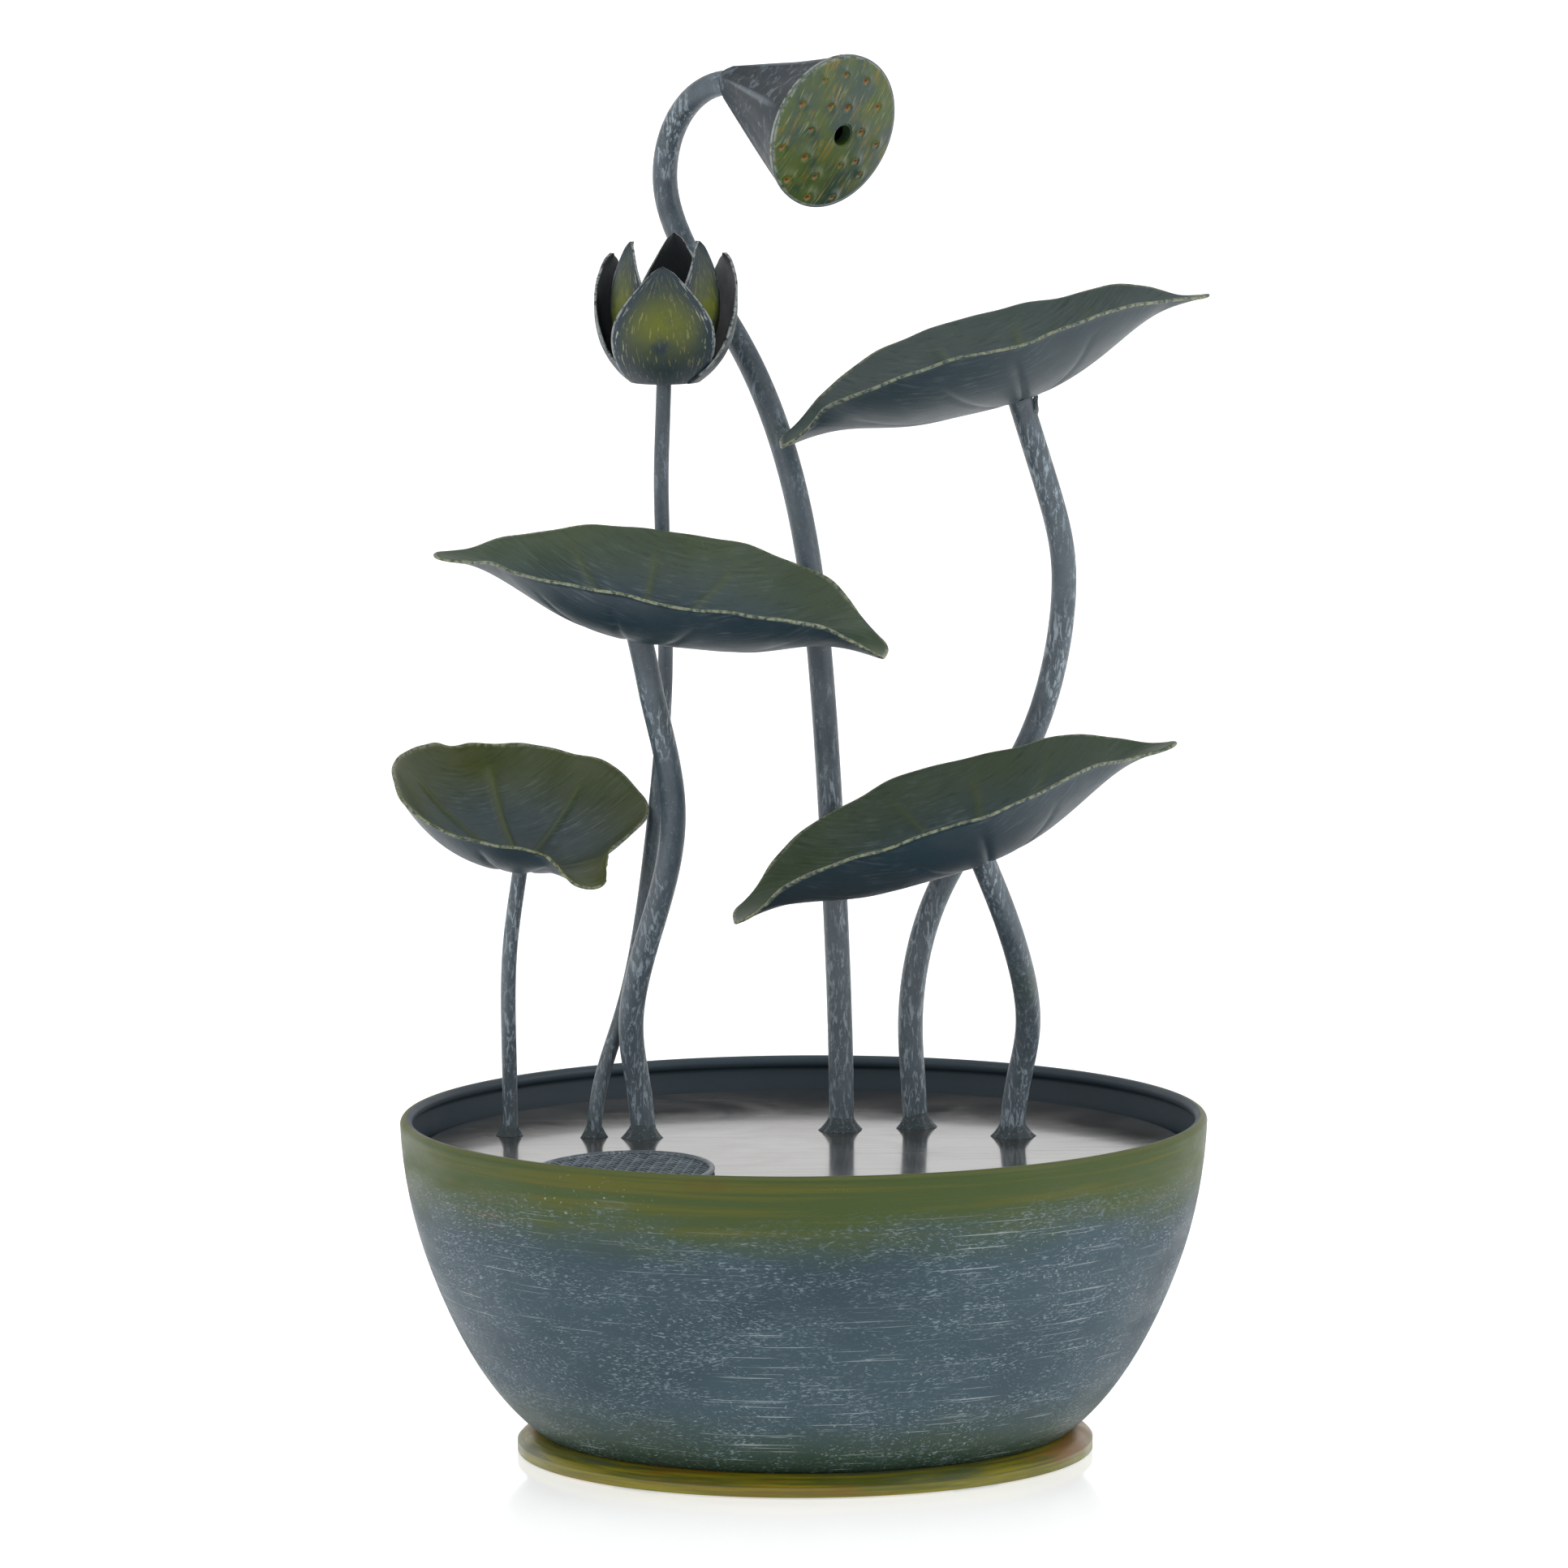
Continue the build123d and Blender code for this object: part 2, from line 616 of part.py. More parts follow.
face_centre = pod_start + (pod_length - face_set_back) * pod_heading
face_frame = Plane(origin=face_centre, x_dir=-1 * pod_side, z_dir=pod_heading)
face_radius = pod_radius - pod_sheet - 0.6
with BuildPart() as pod_face:
    with BuildSketch(Plane(origin=face_centre, x_dir=pod_heading, z_dir=pod_side)):
        with BuildLine():
            Line((0, 0), (0, face_radius))
            ThreePointArc((0, face_radius), (0.75 * face_dome, face_radius / 2), (face_dome, 0))
            Line((face_dome, 0), (0, 0))
        make_face()
    revolve(axis=Axis(face_centre, pod_heading))
    with BuildSketch(face_frame):
        with Locations(nozzle_place):
            Circle(nozzle_outer)
    extrude(amount=2 * face_dome, mode=Mode.SUBTRACT)
save(pod_face, "pod_face")

with BuildPart() as pod_nozzle:
    with BuildSketch(face_frame):
        with Locations(nozzle_place):
            Circle(nozzle_outer)
            Circle(nozzle_bore, mode=Mode.SUBTRACT)
    extrude(amount=face_dome + nozzle_proud)
save(pod_nozzle, "pod_nozzle")


# ---------------------------------------------------------------- flower
def petal_cup(base, foot, widest, tip, height, turn):
    """Three pointed petals pressed from one sheet: a thin cup with a notch between each pair of petals."""
    x = flower_centre[0]
    floor = base + petal_sheet
    inner_foot = foot - 0.6 * petal_sheet
    belly = base + petal_widest_share * height
    top = base + height
    with BuildPart() as cup:
        with BuildSketch(Plane.XZ.offset(-flower_centre[1])):
            with BuildLine():
                Polyline((x, floor), (x, base), (x + foot, base))
                Spline((x + foot, base), (x + widest, belly), (x + tip, top))
                Line((x + tip, top), (x + tip - petal_sheet, top))
                Spline((x + tip - petal_sheet, top), (x + widest - petal_sheet, belly),
                       (x + inner_foot, floor))
                Line((x + inner_foot, floor), (x, floor))
            make_face()
        revolve(axis=Axis((*flower_centre, 0), (0, 0, 1)))
        notch_z = petal_notch_share * height
        half = tip * sin(radians(60))
        for notch in range(3):
            facing = radians(turn + 120 * notch)
            side = Plane(origin=(*flower_centre, base), x_dir=(-sin(facing), cos(facing), 0),
                         z_dir=(cos(facing), sin(facing), 0))
            with BuildSketch(side):
                with BuildLine():
                    ThreePointArc((0, notch_z), (0.56 * half, 0.64 * height), (half, height))
                    Line((half, height), (half, 1.2 * height))
                    Line((half, 1.2 * height), (-half, 1.2 * height))
                    Line((-half, 1.2 * height), (-half, height))
                    ThreePointArc((-half, height), (-0.56 * half, 0.64 * height), (0, notch_z))
                make_face()
            extrude(amount=2 * widest, mode=Mode.SUBTRACT)
    return cup


flower_outer = petal_cup(flower_base, *outer_petals, 90)
save(flower_outer, "flower_outer")
flower_inner = petal_cup(flower_base + petal_sheet, *inner_petals, 30)
save(flower_inner, "flower_inner")


# ---------------------------------------------------------------- leaves
def leaf(place, length, stations, keel_share):
    """A pressed leaf: thin arched sections lofted from the tail to the pouring lip."""
    frame = Plane(place)
    with BuildPart() as blade:
        for share, half_width, rim, keel in stations:
            edge = min(0.9, 0.4 * half_width)
            centre = frame.from_local_coords((length * (share - keel_share), 0, 0))
            with BuildSketch(Plane(origin=centre, x_dir=frame.y_dir, z_dir=frame.x_dir)):
                with BuildLine():
                    ThreePointArc((-half_width, rim), (0, keel), (half_width, rim))
                    Line((half_width, rim), (half_width - edge, rim + 0.3))
                    ThreePointArc((half_width - edge, rim + 0.3), (0, keel + sheet),
                                  (edge - half_width, rim + 0.3))
                    Line((edge - half_width, rim + 0.3), (-half_width, rim))
                make_face()
        loft()
    return blade


for leaf_name, place, length, stations, share in (
    ("upper_leaf", upper_place, upper_length, leaf_stations, leaf_keel_share),
    ("middle_leaf", middle_place, middle_length, leaf_stations, leaf_keel_share),
    ("lower_leaf", lower_place, lower_length, leaf_stations, leaf_keel_share),
    ("small_leaf", small_place, small_length, small_leaf_stations, small_keel_share),
):
    save(leaf(place, length, stations, share), leaf_name)
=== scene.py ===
import math

import bmesh
import bpy
import numpy as np
from mathutils import Matrix, Vector
from mathutils.bvhtree import BVHTree


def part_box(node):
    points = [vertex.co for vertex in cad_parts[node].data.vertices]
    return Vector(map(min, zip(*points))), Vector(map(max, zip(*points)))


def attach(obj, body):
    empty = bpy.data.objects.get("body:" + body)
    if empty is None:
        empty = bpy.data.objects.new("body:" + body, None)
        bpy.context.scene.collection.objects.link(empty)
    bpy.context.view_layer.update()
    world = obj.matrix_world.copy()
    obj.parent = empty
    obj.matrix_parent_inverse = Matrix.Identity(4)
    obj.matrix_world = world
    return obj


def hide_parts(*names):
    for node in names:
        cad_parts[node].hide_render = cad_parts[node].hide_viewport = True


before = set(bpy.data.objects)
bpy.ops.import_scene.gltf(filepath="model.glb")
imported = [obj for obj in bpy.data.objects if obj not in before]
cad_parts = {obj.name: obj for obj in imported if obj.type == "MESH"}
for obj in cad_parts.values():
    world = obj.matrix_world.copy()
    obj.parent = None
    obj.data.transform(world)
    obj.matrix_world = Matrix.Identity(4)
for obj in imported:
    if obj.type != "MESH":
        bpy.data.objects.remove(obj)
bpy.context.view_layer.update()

# Tabletop lotus fountain. Metres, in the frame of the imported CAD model: +Z up, front towards -Y.

MM = 0.001

SHEET = 1.0 * MM
BEAD = 1.9 * MM


# ---------------------------------------------------------------- small helpers
def srgb(red, green, blue):
    """Linear colour from 0-255 screen values."""
    def channel(value):
        value /= 255
        return value / 12.92 if value <= 0.04045 else ((value + 0.055) / 1.055) ** 2.4
    return channel(red), channel(green), channel(blue), 1.0


def node_mesh(name):
    """Vertices and triangles of a CAD node."""
    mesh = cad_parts[name].data
    mesh.calc_loop_triangles()
    points = np.array([v.co[:] for v in mesh.vertices])
    triangles = np.array([t.vertices[:] for t in mesh.loop_triangles])
    return points, triangles


def node_centre(name):
    low, high = (np.array(corner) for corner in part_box(name))
    return (low + high) / 2


def ray_tree(name):
    """A CAD node's surface in the form that rays are cast at."""
    points, triangles = node_mesh(name)
    return BVHTree.FromPolygons([Vector(p) for p in points], [tuple(t) for t in triangles])


def full_turn(count):
    """Evenly spaced angles round a circle."""
    return np.linspace(0, 2 * math.pi, count, endpoint=False)


def piece(name, points, faces, body, material, worn=None):
    """A new visible mesh that rides on a body. worn says how worn each point's paint is, 0-1."""
    mesh = bpy.data.meshes.new(name)
    mesh.from_pydata([tuple(p) for p in points], [], [tuple(f) for f in faces])
    mesh.validate()
    mesh.shade_smooth()
    obj = bpy.data.objects.new(name, mesh)
    if worn is not None:
        add_values(obj, worn=worn)
    bpy.context.scene.collection.objects.link(obj)
    obj.data.materials.append(material)
    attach(obj, body)
    return obj


def add_values(obj, **layers):
    """Extra per-point values for the object's material."""
    for label, values in layers.items():
        layer = obj.data.attributes.new(label, "FLOAT", "POINT")
        layer.data.foreach_set("value", np.asarray(values, dtype=np.float32).reshape(-1))


def grid_faces(rows, columns, wrap=False, offset=0):
    """Quads of a grid stored row by row. wrap closes each row on itself."""
    last = columns if wrap else columns - 1
    return [
        (offset + r * columns + c, offset + r * columns + (c + 1) % columns,
         offset + (r + 1) * columns + (c + 1) % columns, offset + (r + 1) * columns + c)
        for r in range(rows - 1) for c in range(last)
    ]


def smooth_noise(points, scale, seed):
    """Cheap smooth 3-D noise in -1..1 from a few fixed random waves."""
    waves = np.random.default_rng(seed)
    total = np.zeros(len(points))
    for _ in range(7):
        direction = waves.normal(size=3)
        phase = waves.uniform(0, 2 * math.pi)
        total += np.sin(points @ (direction * scale) + phase)
    return total / 4.5


# ---------------------------------------------------------------- material graph
class Graph:
    """A thin wrapper that keeps the node set-ups below short enough to read."""

    def __init__(self, name):
        self.material = bpy.data.materials.new(name)
        self.material.use_nodes = True
        self.tree = self.material.node_tree
        self.tree.nodes.clear()
        self.output = self.node("ShaderNodeOutputMaterial")
        self.shader = self.node("ShaderNodeBsdfPrincipled")
        self.link(self.shader.outputs[0], self.output.inputs["Surface"])
        self.object = self.node("ShaderNodeTexCoord").outputs["Object"]

    def node(self, kind):
        return self.tree.nodes.new(kind)

    def link(self, source, target):
        if hasattr(source, "is_output"):
            self.tree.links.new(source, target)
        else:
            target.default_value = source

    def math(self, operation, first, second=0.0, clamp=False):
        node = self.node("ShaderNodeMath")
        node.operation = operation
        node.use_clamp = clamp
        self.link(first, node.inputs[0])
        self.link(second, node.inputs[1])
        return node.outputs[0]

    def times(self, first, second):
        return self.math("MULTIPLY", first, second)

    def mix(self, factor, first, second):
        node = self.node("ShaderNodeMix")
        node.data_type = "RGBA"
        self.link(factor, node.inputs[0])
        self.link(first, node.inputs[6])
        self.link(second, node.inputs[7])
        return node.outputs[2]

    def stretch(self, vector, scale, turn=(0, 0, 0)):
        node = self.node("ShaderNodeMapping")
        node.inputs["Rotation"].default_value = turn
        node.inputs["Scale"].default_value = scale
        self.link(vector, node.inputs["Vector"])
        return node.outputs[0]

    def noise(self, vector, scale, detail=4.0, roughness=0.55, distortion=0.0):
        node = self.node("ShaderNodeTexNoise")
        self.link(vector, node.inputs["Vector"])
        node.inputs["Scale"].default_value = scale
        node.inputs["Detail"].default_value = detail
        node.inputs["Roughness"].default_value = roughness
        node.inputs["Distortion"].default_value = distortion
        return node.outputs[0]

    def grain(self, vector, scales, *shape):
        """Noise with its own scale along each axis."""
        return self.noise(self.stretch(vector, scales), 1.0, *shape)

    def spots(self, scale, *shape):
        """Noise in the object's own coordinates."""
        return self.noise(self.object, scale, *shape)

    def band(self, value, low, high, clamp_low=0.0, clamp_high=1.0):
        """Value mapped smoothly from low..high to clamp_low..clamp_high."""
        node = self.node("ShaderNodeMapRange")
        node.interpolation_type = "SMOOTHSTEP"
        self.link(value, node.inputs[0])
        node.inputs[1].default_value = low
        node.inputs[2].default_value = high
        node.inputs[3].default_value = clamp_low
        node.inputs[4].default_value = clamp_high
        return node.outputs[0]

    def position(self):
        """The object's own X, Y and Z."""
        split = self.node("ShaderNodeSeparateXYZ")
        self.link(self.object, split.inputs[0])
        return split.outputs

    def height(self):
        return self.position()[2]

    def around(self, radius):
        """Coordinates about the Z axis: distance around, distance out, height. The seam is at the back."""
        x, y, z = self.position()
        turn = self.math("ARCTAN2", x, self.times(y, -1.0))
        length = self.node("ShaderNodeVectorMath")
        length.operation = "LENGTH"
        self.link(self.object, length.inputs[0])
        join = self.node("ShaderNodeCombineXYZ")
        self.link(self.times(turn, radius), join.inputs[0])
        self.link(length.outputs["Value"], join.inputs[1])
        self.link(z, join.inputs[2])
        return join.outputs[0]

    def value(self, label):
        node = self.node("ShaderNodeAttribute")
        node.attribute_name = label
        return node.outputs["Fac"]

    def sheet(self, across, along):
        """Coordinates that follow a pressed sheet, scaled across and along its brush strokes."""
        join = self.node("ShaderNodeCombineXYZ")
        self.link(self.times(self.value("across"), across), join.inputs[0])
        self.link(self.times(self.value("along"), along), join.inputs[1])
        return join.outputs[0]

    def bump(self, height, distance, strength=1.0):
        node = self.node("ShaderNodeBump")
        node.inputs["Strength"].default_value = strength
        node.inputs["Distance"].default_value = distance
        self.link(height, node.inputs["Height"])
        self.link(node.outputs[0], self.shader.inputs["Normal"])

    def finish(self, colour, roughness, metallic=0.0, specular=0.5, coat=0.0, coat_roughness=0.1):
        self.link(colour, self.shader.inputs["Base Color"])
        self.link(roughness, self.shader.inputs["Roughness"])
        self.link(metallic, self.shader.inputs["Metallic"])
        self.shader.inputs["Specular IOR Level"].default_value = specular
        self.shader.inputs["Coat Weight"].default_value = coat
        self.shader.inputs["Coat Roughness"].default_value = coat_roughness
        return self.material


# ---------------------------------------------------------------- materials
SILVER = srgb(176, 184, 188)
STRAW = srgb(196, 186, 120)
# Radius at which brush marks round the bowl and the plate keep their true length
BOWL_WRAP = 120 * MM
PLATE_WRAP = 90 * MM


# Brush flecks on the bowl: lean in radians, scale along the stroke, where the noise starts and ends a fleck
FLECKS = ((0.0, 420, 0.555, 0.64), (0.22, 330, 0.575, 0.66), (-0.30, 520, 0.585, 0.67))


def bowl_paint(rim_z, foot_z):
    """Blue-grey wall, green towards rim and foot, with short silver brush flecks that run round it."""
    g = Graph("bowl_paint")
    wrapped = g.around(BOWL_WRAP)
    height = g.height()
    cloud = g.noise(g.stretch(wrapped, (1, 1, 3)), 22, 5, 0.6, 0.4)
    broad = g.noise(g.stretch(wrapped, (1, 1, 2.2)), 9, 3)
    colour = g.mix(g.band(broad, 0.35, 0.68), srgb(42, 62, 71), srgb(54, 75, 85))
    wander = g.times(g.math("SUBTRACT", cloud, 0.5), 0.022)
    edge = g.math("ADD", height, wander)
    colour = g.mix(g.band(edge, foot_z + 0.026, foot_z + 0.004), colour, srgb(42, 62, 50))
    colour = g.mix(g.band(edge, rim_z - 0.030, rim_z - 0.010), colour, srgb(62, 78, 34))
    streak = g.grain(wrapped, (9, 1, 420), 4, 0.6)
    top = g.times(g.band(edge, rim_z - 0.026, rim_z - 0.004), g.band(streak, 0.46, 0.64))
    colour = g.mix(g.times(top, 0.65), colour, srgb(92, 90, 18))
    rust_patch = g.band(g.noise(g.stretch(wrapped, (1, 1, 1.6)), 17, 3), 0.56, 0.70)
    rust = g.times(g.times(rust_patch, g.band(streak, 0.40, 0.60)),
                  g.band(height, rim_z - 0.030, rim_z - 0.012))
    colour = g.mix(g.times(rust, 0.75), colour, srgb(84, 58, 20))
    body = g.band(edge, rim_z - 0.008, rim_z - 0.024)
    flecks = 0.0
    for lean, long_scale, low, high in FLECKS:
        turned = g.stretch(wrapped, (1, 1, 1), (0, lean, 0))
        dash = g.band(g.grain(turned, (long_scale, 1, 1900), 2, 0.6), low, high)
        patch = g.band(g.grain(turned, (26, 1, 95), 4, 0.65), 0.42, 0.62)
        flecks = g.math("MAXIMUM", flecks, g.times(dash, patch))
    colour = g.mix(g.times(g.times(flecks, body), 0.58), colour, srgb(140, 156, 166))
    scratch = g.band(g.grain(wrapped, (26, 1, 2400), 2), 0.63, 0.70)
    scratch = g.times(scratch, g.band(broad, 0.45, 0.60))
    colour = g.mix(g.times(g.times(scratch, body), 0.6), colour, SILVER)
    pick = g.times(g.band(g.noise(wrapped, 700, 2), 0.66, 0.72), g.band(broad, 0.52, 0.66))
    colour = g.mix(g.times(pick, 0.6), colour, srgb(158, 168, 150))
    lip = g.band(height, rim_z - 0.0016, rim_z - 0.0004)
    colour = g.mix(g.times(lip, 0.45), colour, srgb(104, 108, 60))
    g.bump(g.math("ADD", flecks, g.times(streak, 0.5)), 0.00010, 0.5)
    return g.finish(colour, g.band(cloud, 0.3, 0.7, 0.40, 0.56), 0.0, 0.28)


def bowl_inside_paint():
    g = Graph("bowl_inside_paint")
    wrapped = g.around(BOWL_WRAP)
    cloud = g.noise(g.stretch(wrapped, (1, 1, 2)), 26, 4)
    colour = g.mix(cloud, srgb(42, 58, 68), srgb(62, 78, 88))
    fine = g.grain(wrapped, (30, 1, 1200), 3)
    colour = g.mix(g.band(fine, 0.60, 0.80, 0.0, 0.3), colour, srgb(84, 96, 100))
    g.bump(fine, 0.00008, 0.4)
    return g.finish(colour, g.band(cloud, 0.3, 0.7, 0.42, 0.56), 0.0, 0.4)


def plate_paint(top_z):
    """Olive, green and orange-brown brushed round the plate, with a dark seam line at its shoulder."""
    g = Graph("plate_paint")
    wrapped = g.around(PLATE_WRAP)
    height = g.height()
    cloud = g.grain(wrapped, (60, 60, 60), 4)
    streak = g.grain(wrapped, (24, 500, 700), 5, 0.65, 0.3)
    stain = g.grain(wrapped, (13, 120, 160), 4)
    colour = g.mix(g.band(streak, 0.35, 0.65), srgb(112, 124, 40), srgb(204, 190, 20))
    colour = g.mix(g.times(g.band(stain, 0.52, 0.64), 0.8), colour, srgb(196, 124, 18))
    colour = g.mix(g.times(g.band(stain, 0.46, 0.36), 0.75), colour, srgb(106, 130, 102))
    speck = g.spots(900, 3)
    colour = g.mix(g.band(speck, 0.64, 0.76, 0, 0.55), colour, srgb(164, 164, 128))
    skirt = g.band(height, top_z - 0.0030, top_z - 0.0034)
    skirt_colour = g.mix(streak, srgb(58, 62, 16), srgb(104, 96, 14))
    colour = g.mix(g.times(skirt, 0.75), colour, skirt_colour)
    seam_low = g.band(height, top_z - 0.0036, top_z - 0.0033)
    seam = g.times(seam_low, g.band(height, top_z - 0.0040, top_z - 0.0037))
    colour = g.mix(g.times(seam, 0.6), colour, srgb(30, 26, 10))
    g.bump(g.math("ADD", streak, g.times(speck, 0.4)), 0.00014, 0.5)
    return g.finish(colour, g.band(cloud, 0.3, 0.7, 0.30, 0.46), 0.0, 0.4, 0.1, 0.3)


def deck_paint():
    """Dark lacquer that looks wet: broad soft swirls, faint scuffs and a shallow ripple."""
    g = Graph("deck_paint")
    swirl = g.spots(16, 3, 0.5, 1.6)
    colour = g.mix(g.band(swirl, 0.35, 0.65), srgb(84, 80, 77), srgb(118, 112, 108))
    scuff = g.grain(g.object, (14, 320, 1), 4)
    colour = g.mix(g.band(scuff, 0.58, 0.74, 0, 0.35), colour, srgb(118, 114, 110))
    speck = g.spots(1300, 3)
    colour = g.mix(g.band(speck, 0.62, 0.8, 0, 0.5), colour, srgb(140, 138, 134))
    ripple = g.spots(60, 2)
    g.bump(g.math("ADD", ripple, g.times(scuff, 0.12)), 0.00035, 0.25)
    rough = g.math("ADD", g.band(swirl, 0.3, 0.7, 0.14, 0.24), g.band(scuff, 0.5, 0.8, 0.0, 0.10))
    return g.finish(colour, rough, 0.55, 0.9, 0.5, 0.08)


def stem_paint():
    """Blue-grey tube with a crackle of silver dry brushing and olive shading in places."""
    g = Graph("stem_paint")
    cloud = g.spots(55, 4, 0.6)
    colour = g.mix(g.band(cloud, 0.32, 0.68), srgb(52, 66, 75), srgb(74, 88, 97))
    olive = g.spots(18, 3)
    colour = g.mix(g.band(olive, 0.58, 0.72, 0, 0.65), colour, srgb(60, 76, 50))
    dash = g.grain(g.object, (900, 900, 210), 4, 0.68, 0.6)
    patch = g.noise(g.stretch(g.object, (1, 1, 0.5)), 60, 3)
    foot = g.band(g.height(), 0.210, 0.105, 0.0, 0.55)
    colour = g.mix(g.times(foot, 0.8), colour, srgb(98, 112, 120))
    brushed = g.times(g.band(dash, 0.50, 0.62), g.math("ADD", g.band(patch, 0.42, 0.60), foot, True))
    colour = g.mix(g.times(brushed, 0.75), colour, srgb(160, 174, 184))
    speck = g.spots(1300, 3, 0.7)
    colour = g.mix(g.band(speck, 0.60, 0.72, 0, 0.42), colour, srgb(150, 162, 170))
    g.bump(g.math("ADD", dash, g.times(speck, 0.6)), 0.00018, 0.6)
    return g.finish(colour, g.band(dash, 0.35, 0.7, 0.30, 0.48), 0.0, 0.6)


def weld_paint():
    g = Graph("weld_paint")
    cloud = g.spots(260, 4, 0.65)
    colour = g.mix(cloud, srgb(28, 42, 48), srgb(70, 84, 88))
    speck = g.spots(1100, 4, 0.7)
    colour = g.mix(g.band(speck, 0.56, 0.68, 0, 0.7), colour, srgb(140, 152, 158))
    g.bump(g.math("ADD", speck, cloud), 0.00045, 0.8)
    return g.finish(colour, g.band(cloud, 0.3, 0.7, 0.34, 0.56), 0.0)


def leaf_paint(name, inner_low, inner_high, outer, tint, tint_amount):
    """Grey-green patina: olive towards the edge, a darker underside, pale worn edges and long brush marks."""
    g = Graph(name)
    cloud = g.spots(42, 5, 0.6, 0.4)
    broad = g.spots(20, 3)
    worn = g.value("worn")
    inside = g.mix(g.band(cloud, 0.30, 0.70), inner_low, inner_high)
    rim_tint = g.times(g.band(worn, 0.50, 0.97), 0.85)
    tinted = g.math("ADD", g.times(g.band(broad, 0.46, 0.66), 0.40), rim_tint, True)
    inside = g.mix(g.times(tinted, tint_amount), inside, tint)
    under = g.mix(g.band(cloud, 0.30, 0.70), outer, srgb(40, 56, 64))
    stroke = g.noise(g.sheet(1300, 110), 1.0, 4, 0.66)
    soft = g.spots(60, 3)
    brushed = g.times(g.band(stroke, 0.50, 0.66), g.band(soft, 0.40, 0.60))
    middle = g.band(worn, 0.98, 0.40, 0.25, 1.0)
    inside = g.mix(g.times(brushed, g.times(middle, 0.55)), inside, srgb(124, 136, 138))
    dark_stroke = g.times(g.band(stroke, 0.46, 0.34), 0.35)
    inside = g.mix(dark_stroke, inside, srgb(26, 38, 40))
    inside = g.mix(g.times(g.value("vein"), 0.6), inside, srgb(86, 96, 24))
    speck = g.spots(1500, 3, 0.7)
    inside = g.mix(g.band(speck, 0.66, 0.76, 0, 0.35), inside, SILVER)
    under = g.mix(g.times(brushed, 0.22), under, srgb(110, 124, 130))
    colour = g.mix(g.value("under"), inside, under)
    chip_noise = g.spots(620, 5, 0.75)
    chipped = g.times(g.band(worn, 0.984, 0.999), g.band(chip_noise, 0.40, 0.58))
    chip = g.mix(cloud, srgb(150, 152, 92), srgb(150, 158, 152))
    colour = g.mix(g.times(chipped, 0.75), colour, chip)
    g.bump(g.math("ADD", stroke, g.times(speck, 0.5)), 0.00016, 0.5)
    return g.finish(colour, g.band(cloud, 0.3, 0.7, 0.36, 0.50), 0.0, 0.4)


def petal_paint():
    """Blue-grey petals, olive in the middle, silver on the worn edges; the inner skin is painted almost
    black, painted shade for the inside of the cup.
    """
    g = Graph("petal_paint")
    worn = g.value("worn")
    cloud = g.spots(90, 4)
    outside = g.mix(cloud, srgb(28, 44, 54), srgb(48, 62, 70))
    green = g.times(g.value("belly"), g.band(g.spots(110, 3), 0.22, 0.55))
    outside = g.mix(g.times(green, 0.95), outside, srgb(96, 104, 24))
    dash = g.noise(g.sheet(900, 200), 1.0, 5, 0.7)
    near_edge = g.band(worn, 0.60, 1.0)
    scratch = g.times(g.band(dash, 0.56, 0.64), g.math("ADD", near_edge, 0.30, True))
    outside = g.mix(g.times(scratch, 0.85), outside, g.mix(near_edge, STRAW, SILVER))
    # Painted shade: the inner skin of each petal, inside the flower's cup, is painted almost black.
    colour = g.mix(g.value("under"), outside, srgb(22, 28, 32))
    chipped = g.times(g.band(worn, 0.93, 0.99), g.band(g.spots(600, 4, 0.7), 0.36, 0.54))
    colour = g.mix(g.times(chipped, 0.85), colour, srgb(166, 172, 170))
    g.bump(dash, 0.0002, 0.5)
    return g.finish(colour, g.band(cloud, 0.3, 0.7, 0.42, 0.58), 0.0, 0.35)


def pod_face_paint():
    """Green and olive with slanting brush strokes, rust in the pits and a silver rim."""
    g = Graph("pod_face_paint")
    cloud = g.spots(90, 4, 0.6, 0.5)
    colour = g.mix(g.band(cloud, 0.36, 0.64), srgb(38, 62, 50), srgb(64, 82, 24))
    stroke = g.noise(g.sheet(620, 75), 1.0, 5, 0.65)
    gold = g.times(g.band(stroke, 0.50, 0.64), g.band(g.spots(120, 3), 0.40, 0.60))
    colour = g.mix(g.times(gold, 0.85), colour, srgb(118, 98, 8))
    colour = g.mix(g.band(stroke, 0.42, 0.30, 0, 0.6), colour, srgb(34, 52, 44))
    pale = g.noise(g.sheet(1500, 130), 1.0, 4)
    colour = g.mix(g.band(pale, 0.58, 0.68, 0, 0.55), colour, srgb(138, 146, 96))
    pits = g.value("vein")
    colour = g.mix(g.band(pits, 0.22, 0.55, 0, 0.75), colour, srgb(134, 102, 20))
    colour = g.mix(g.band(pits, 0.55, 0.95, 0, 0.9), colour, srgb(96, 40, 8))
    rim = g.times(g.band(g.value("worn"), 0.955, 0.995), g.band(g.spots(420, 4), 0.40, 0.58))
    colour = g.mix(g.times(rim, 0.8), colour, srgb(160, 168, 160))
    g.bump(g.math("ADD", stroke, pale), 0.00018, 0.5)
    return g.finish(colour, g.band(cloud, 0.3, 0.7, 0.30, 0.44), 0.0, 0.5)


def pod_cone_paint():
    g = Graph("pod_cone_paint")
    cloud = g.spots(90, 5, 0.65)
    colour = g.mix(g.band(cloud, 0.34, 0.66), srgb(22, 34, 42), srgb(38, 50, 58))
    smear = g.spots(260, 4, 0.7, 0.4)
    colour = g.mix(g.band(smear, 0.53, 0.66, 0, 0.45), colour, srgb(124, 136, 144))
    colour = g.mix(g.times(g.band(g.value("worn"), 0.2, 0.8), 0.45), colour, srgb(140, 150, 158))
    g.bump(g.math("ADD", cloud, smear), 0.00012, 0.5)
    return g.finish(colour, g.band(cloud, 0.3, 0.7, 0.36, 0.50), 0.0, 0.2)


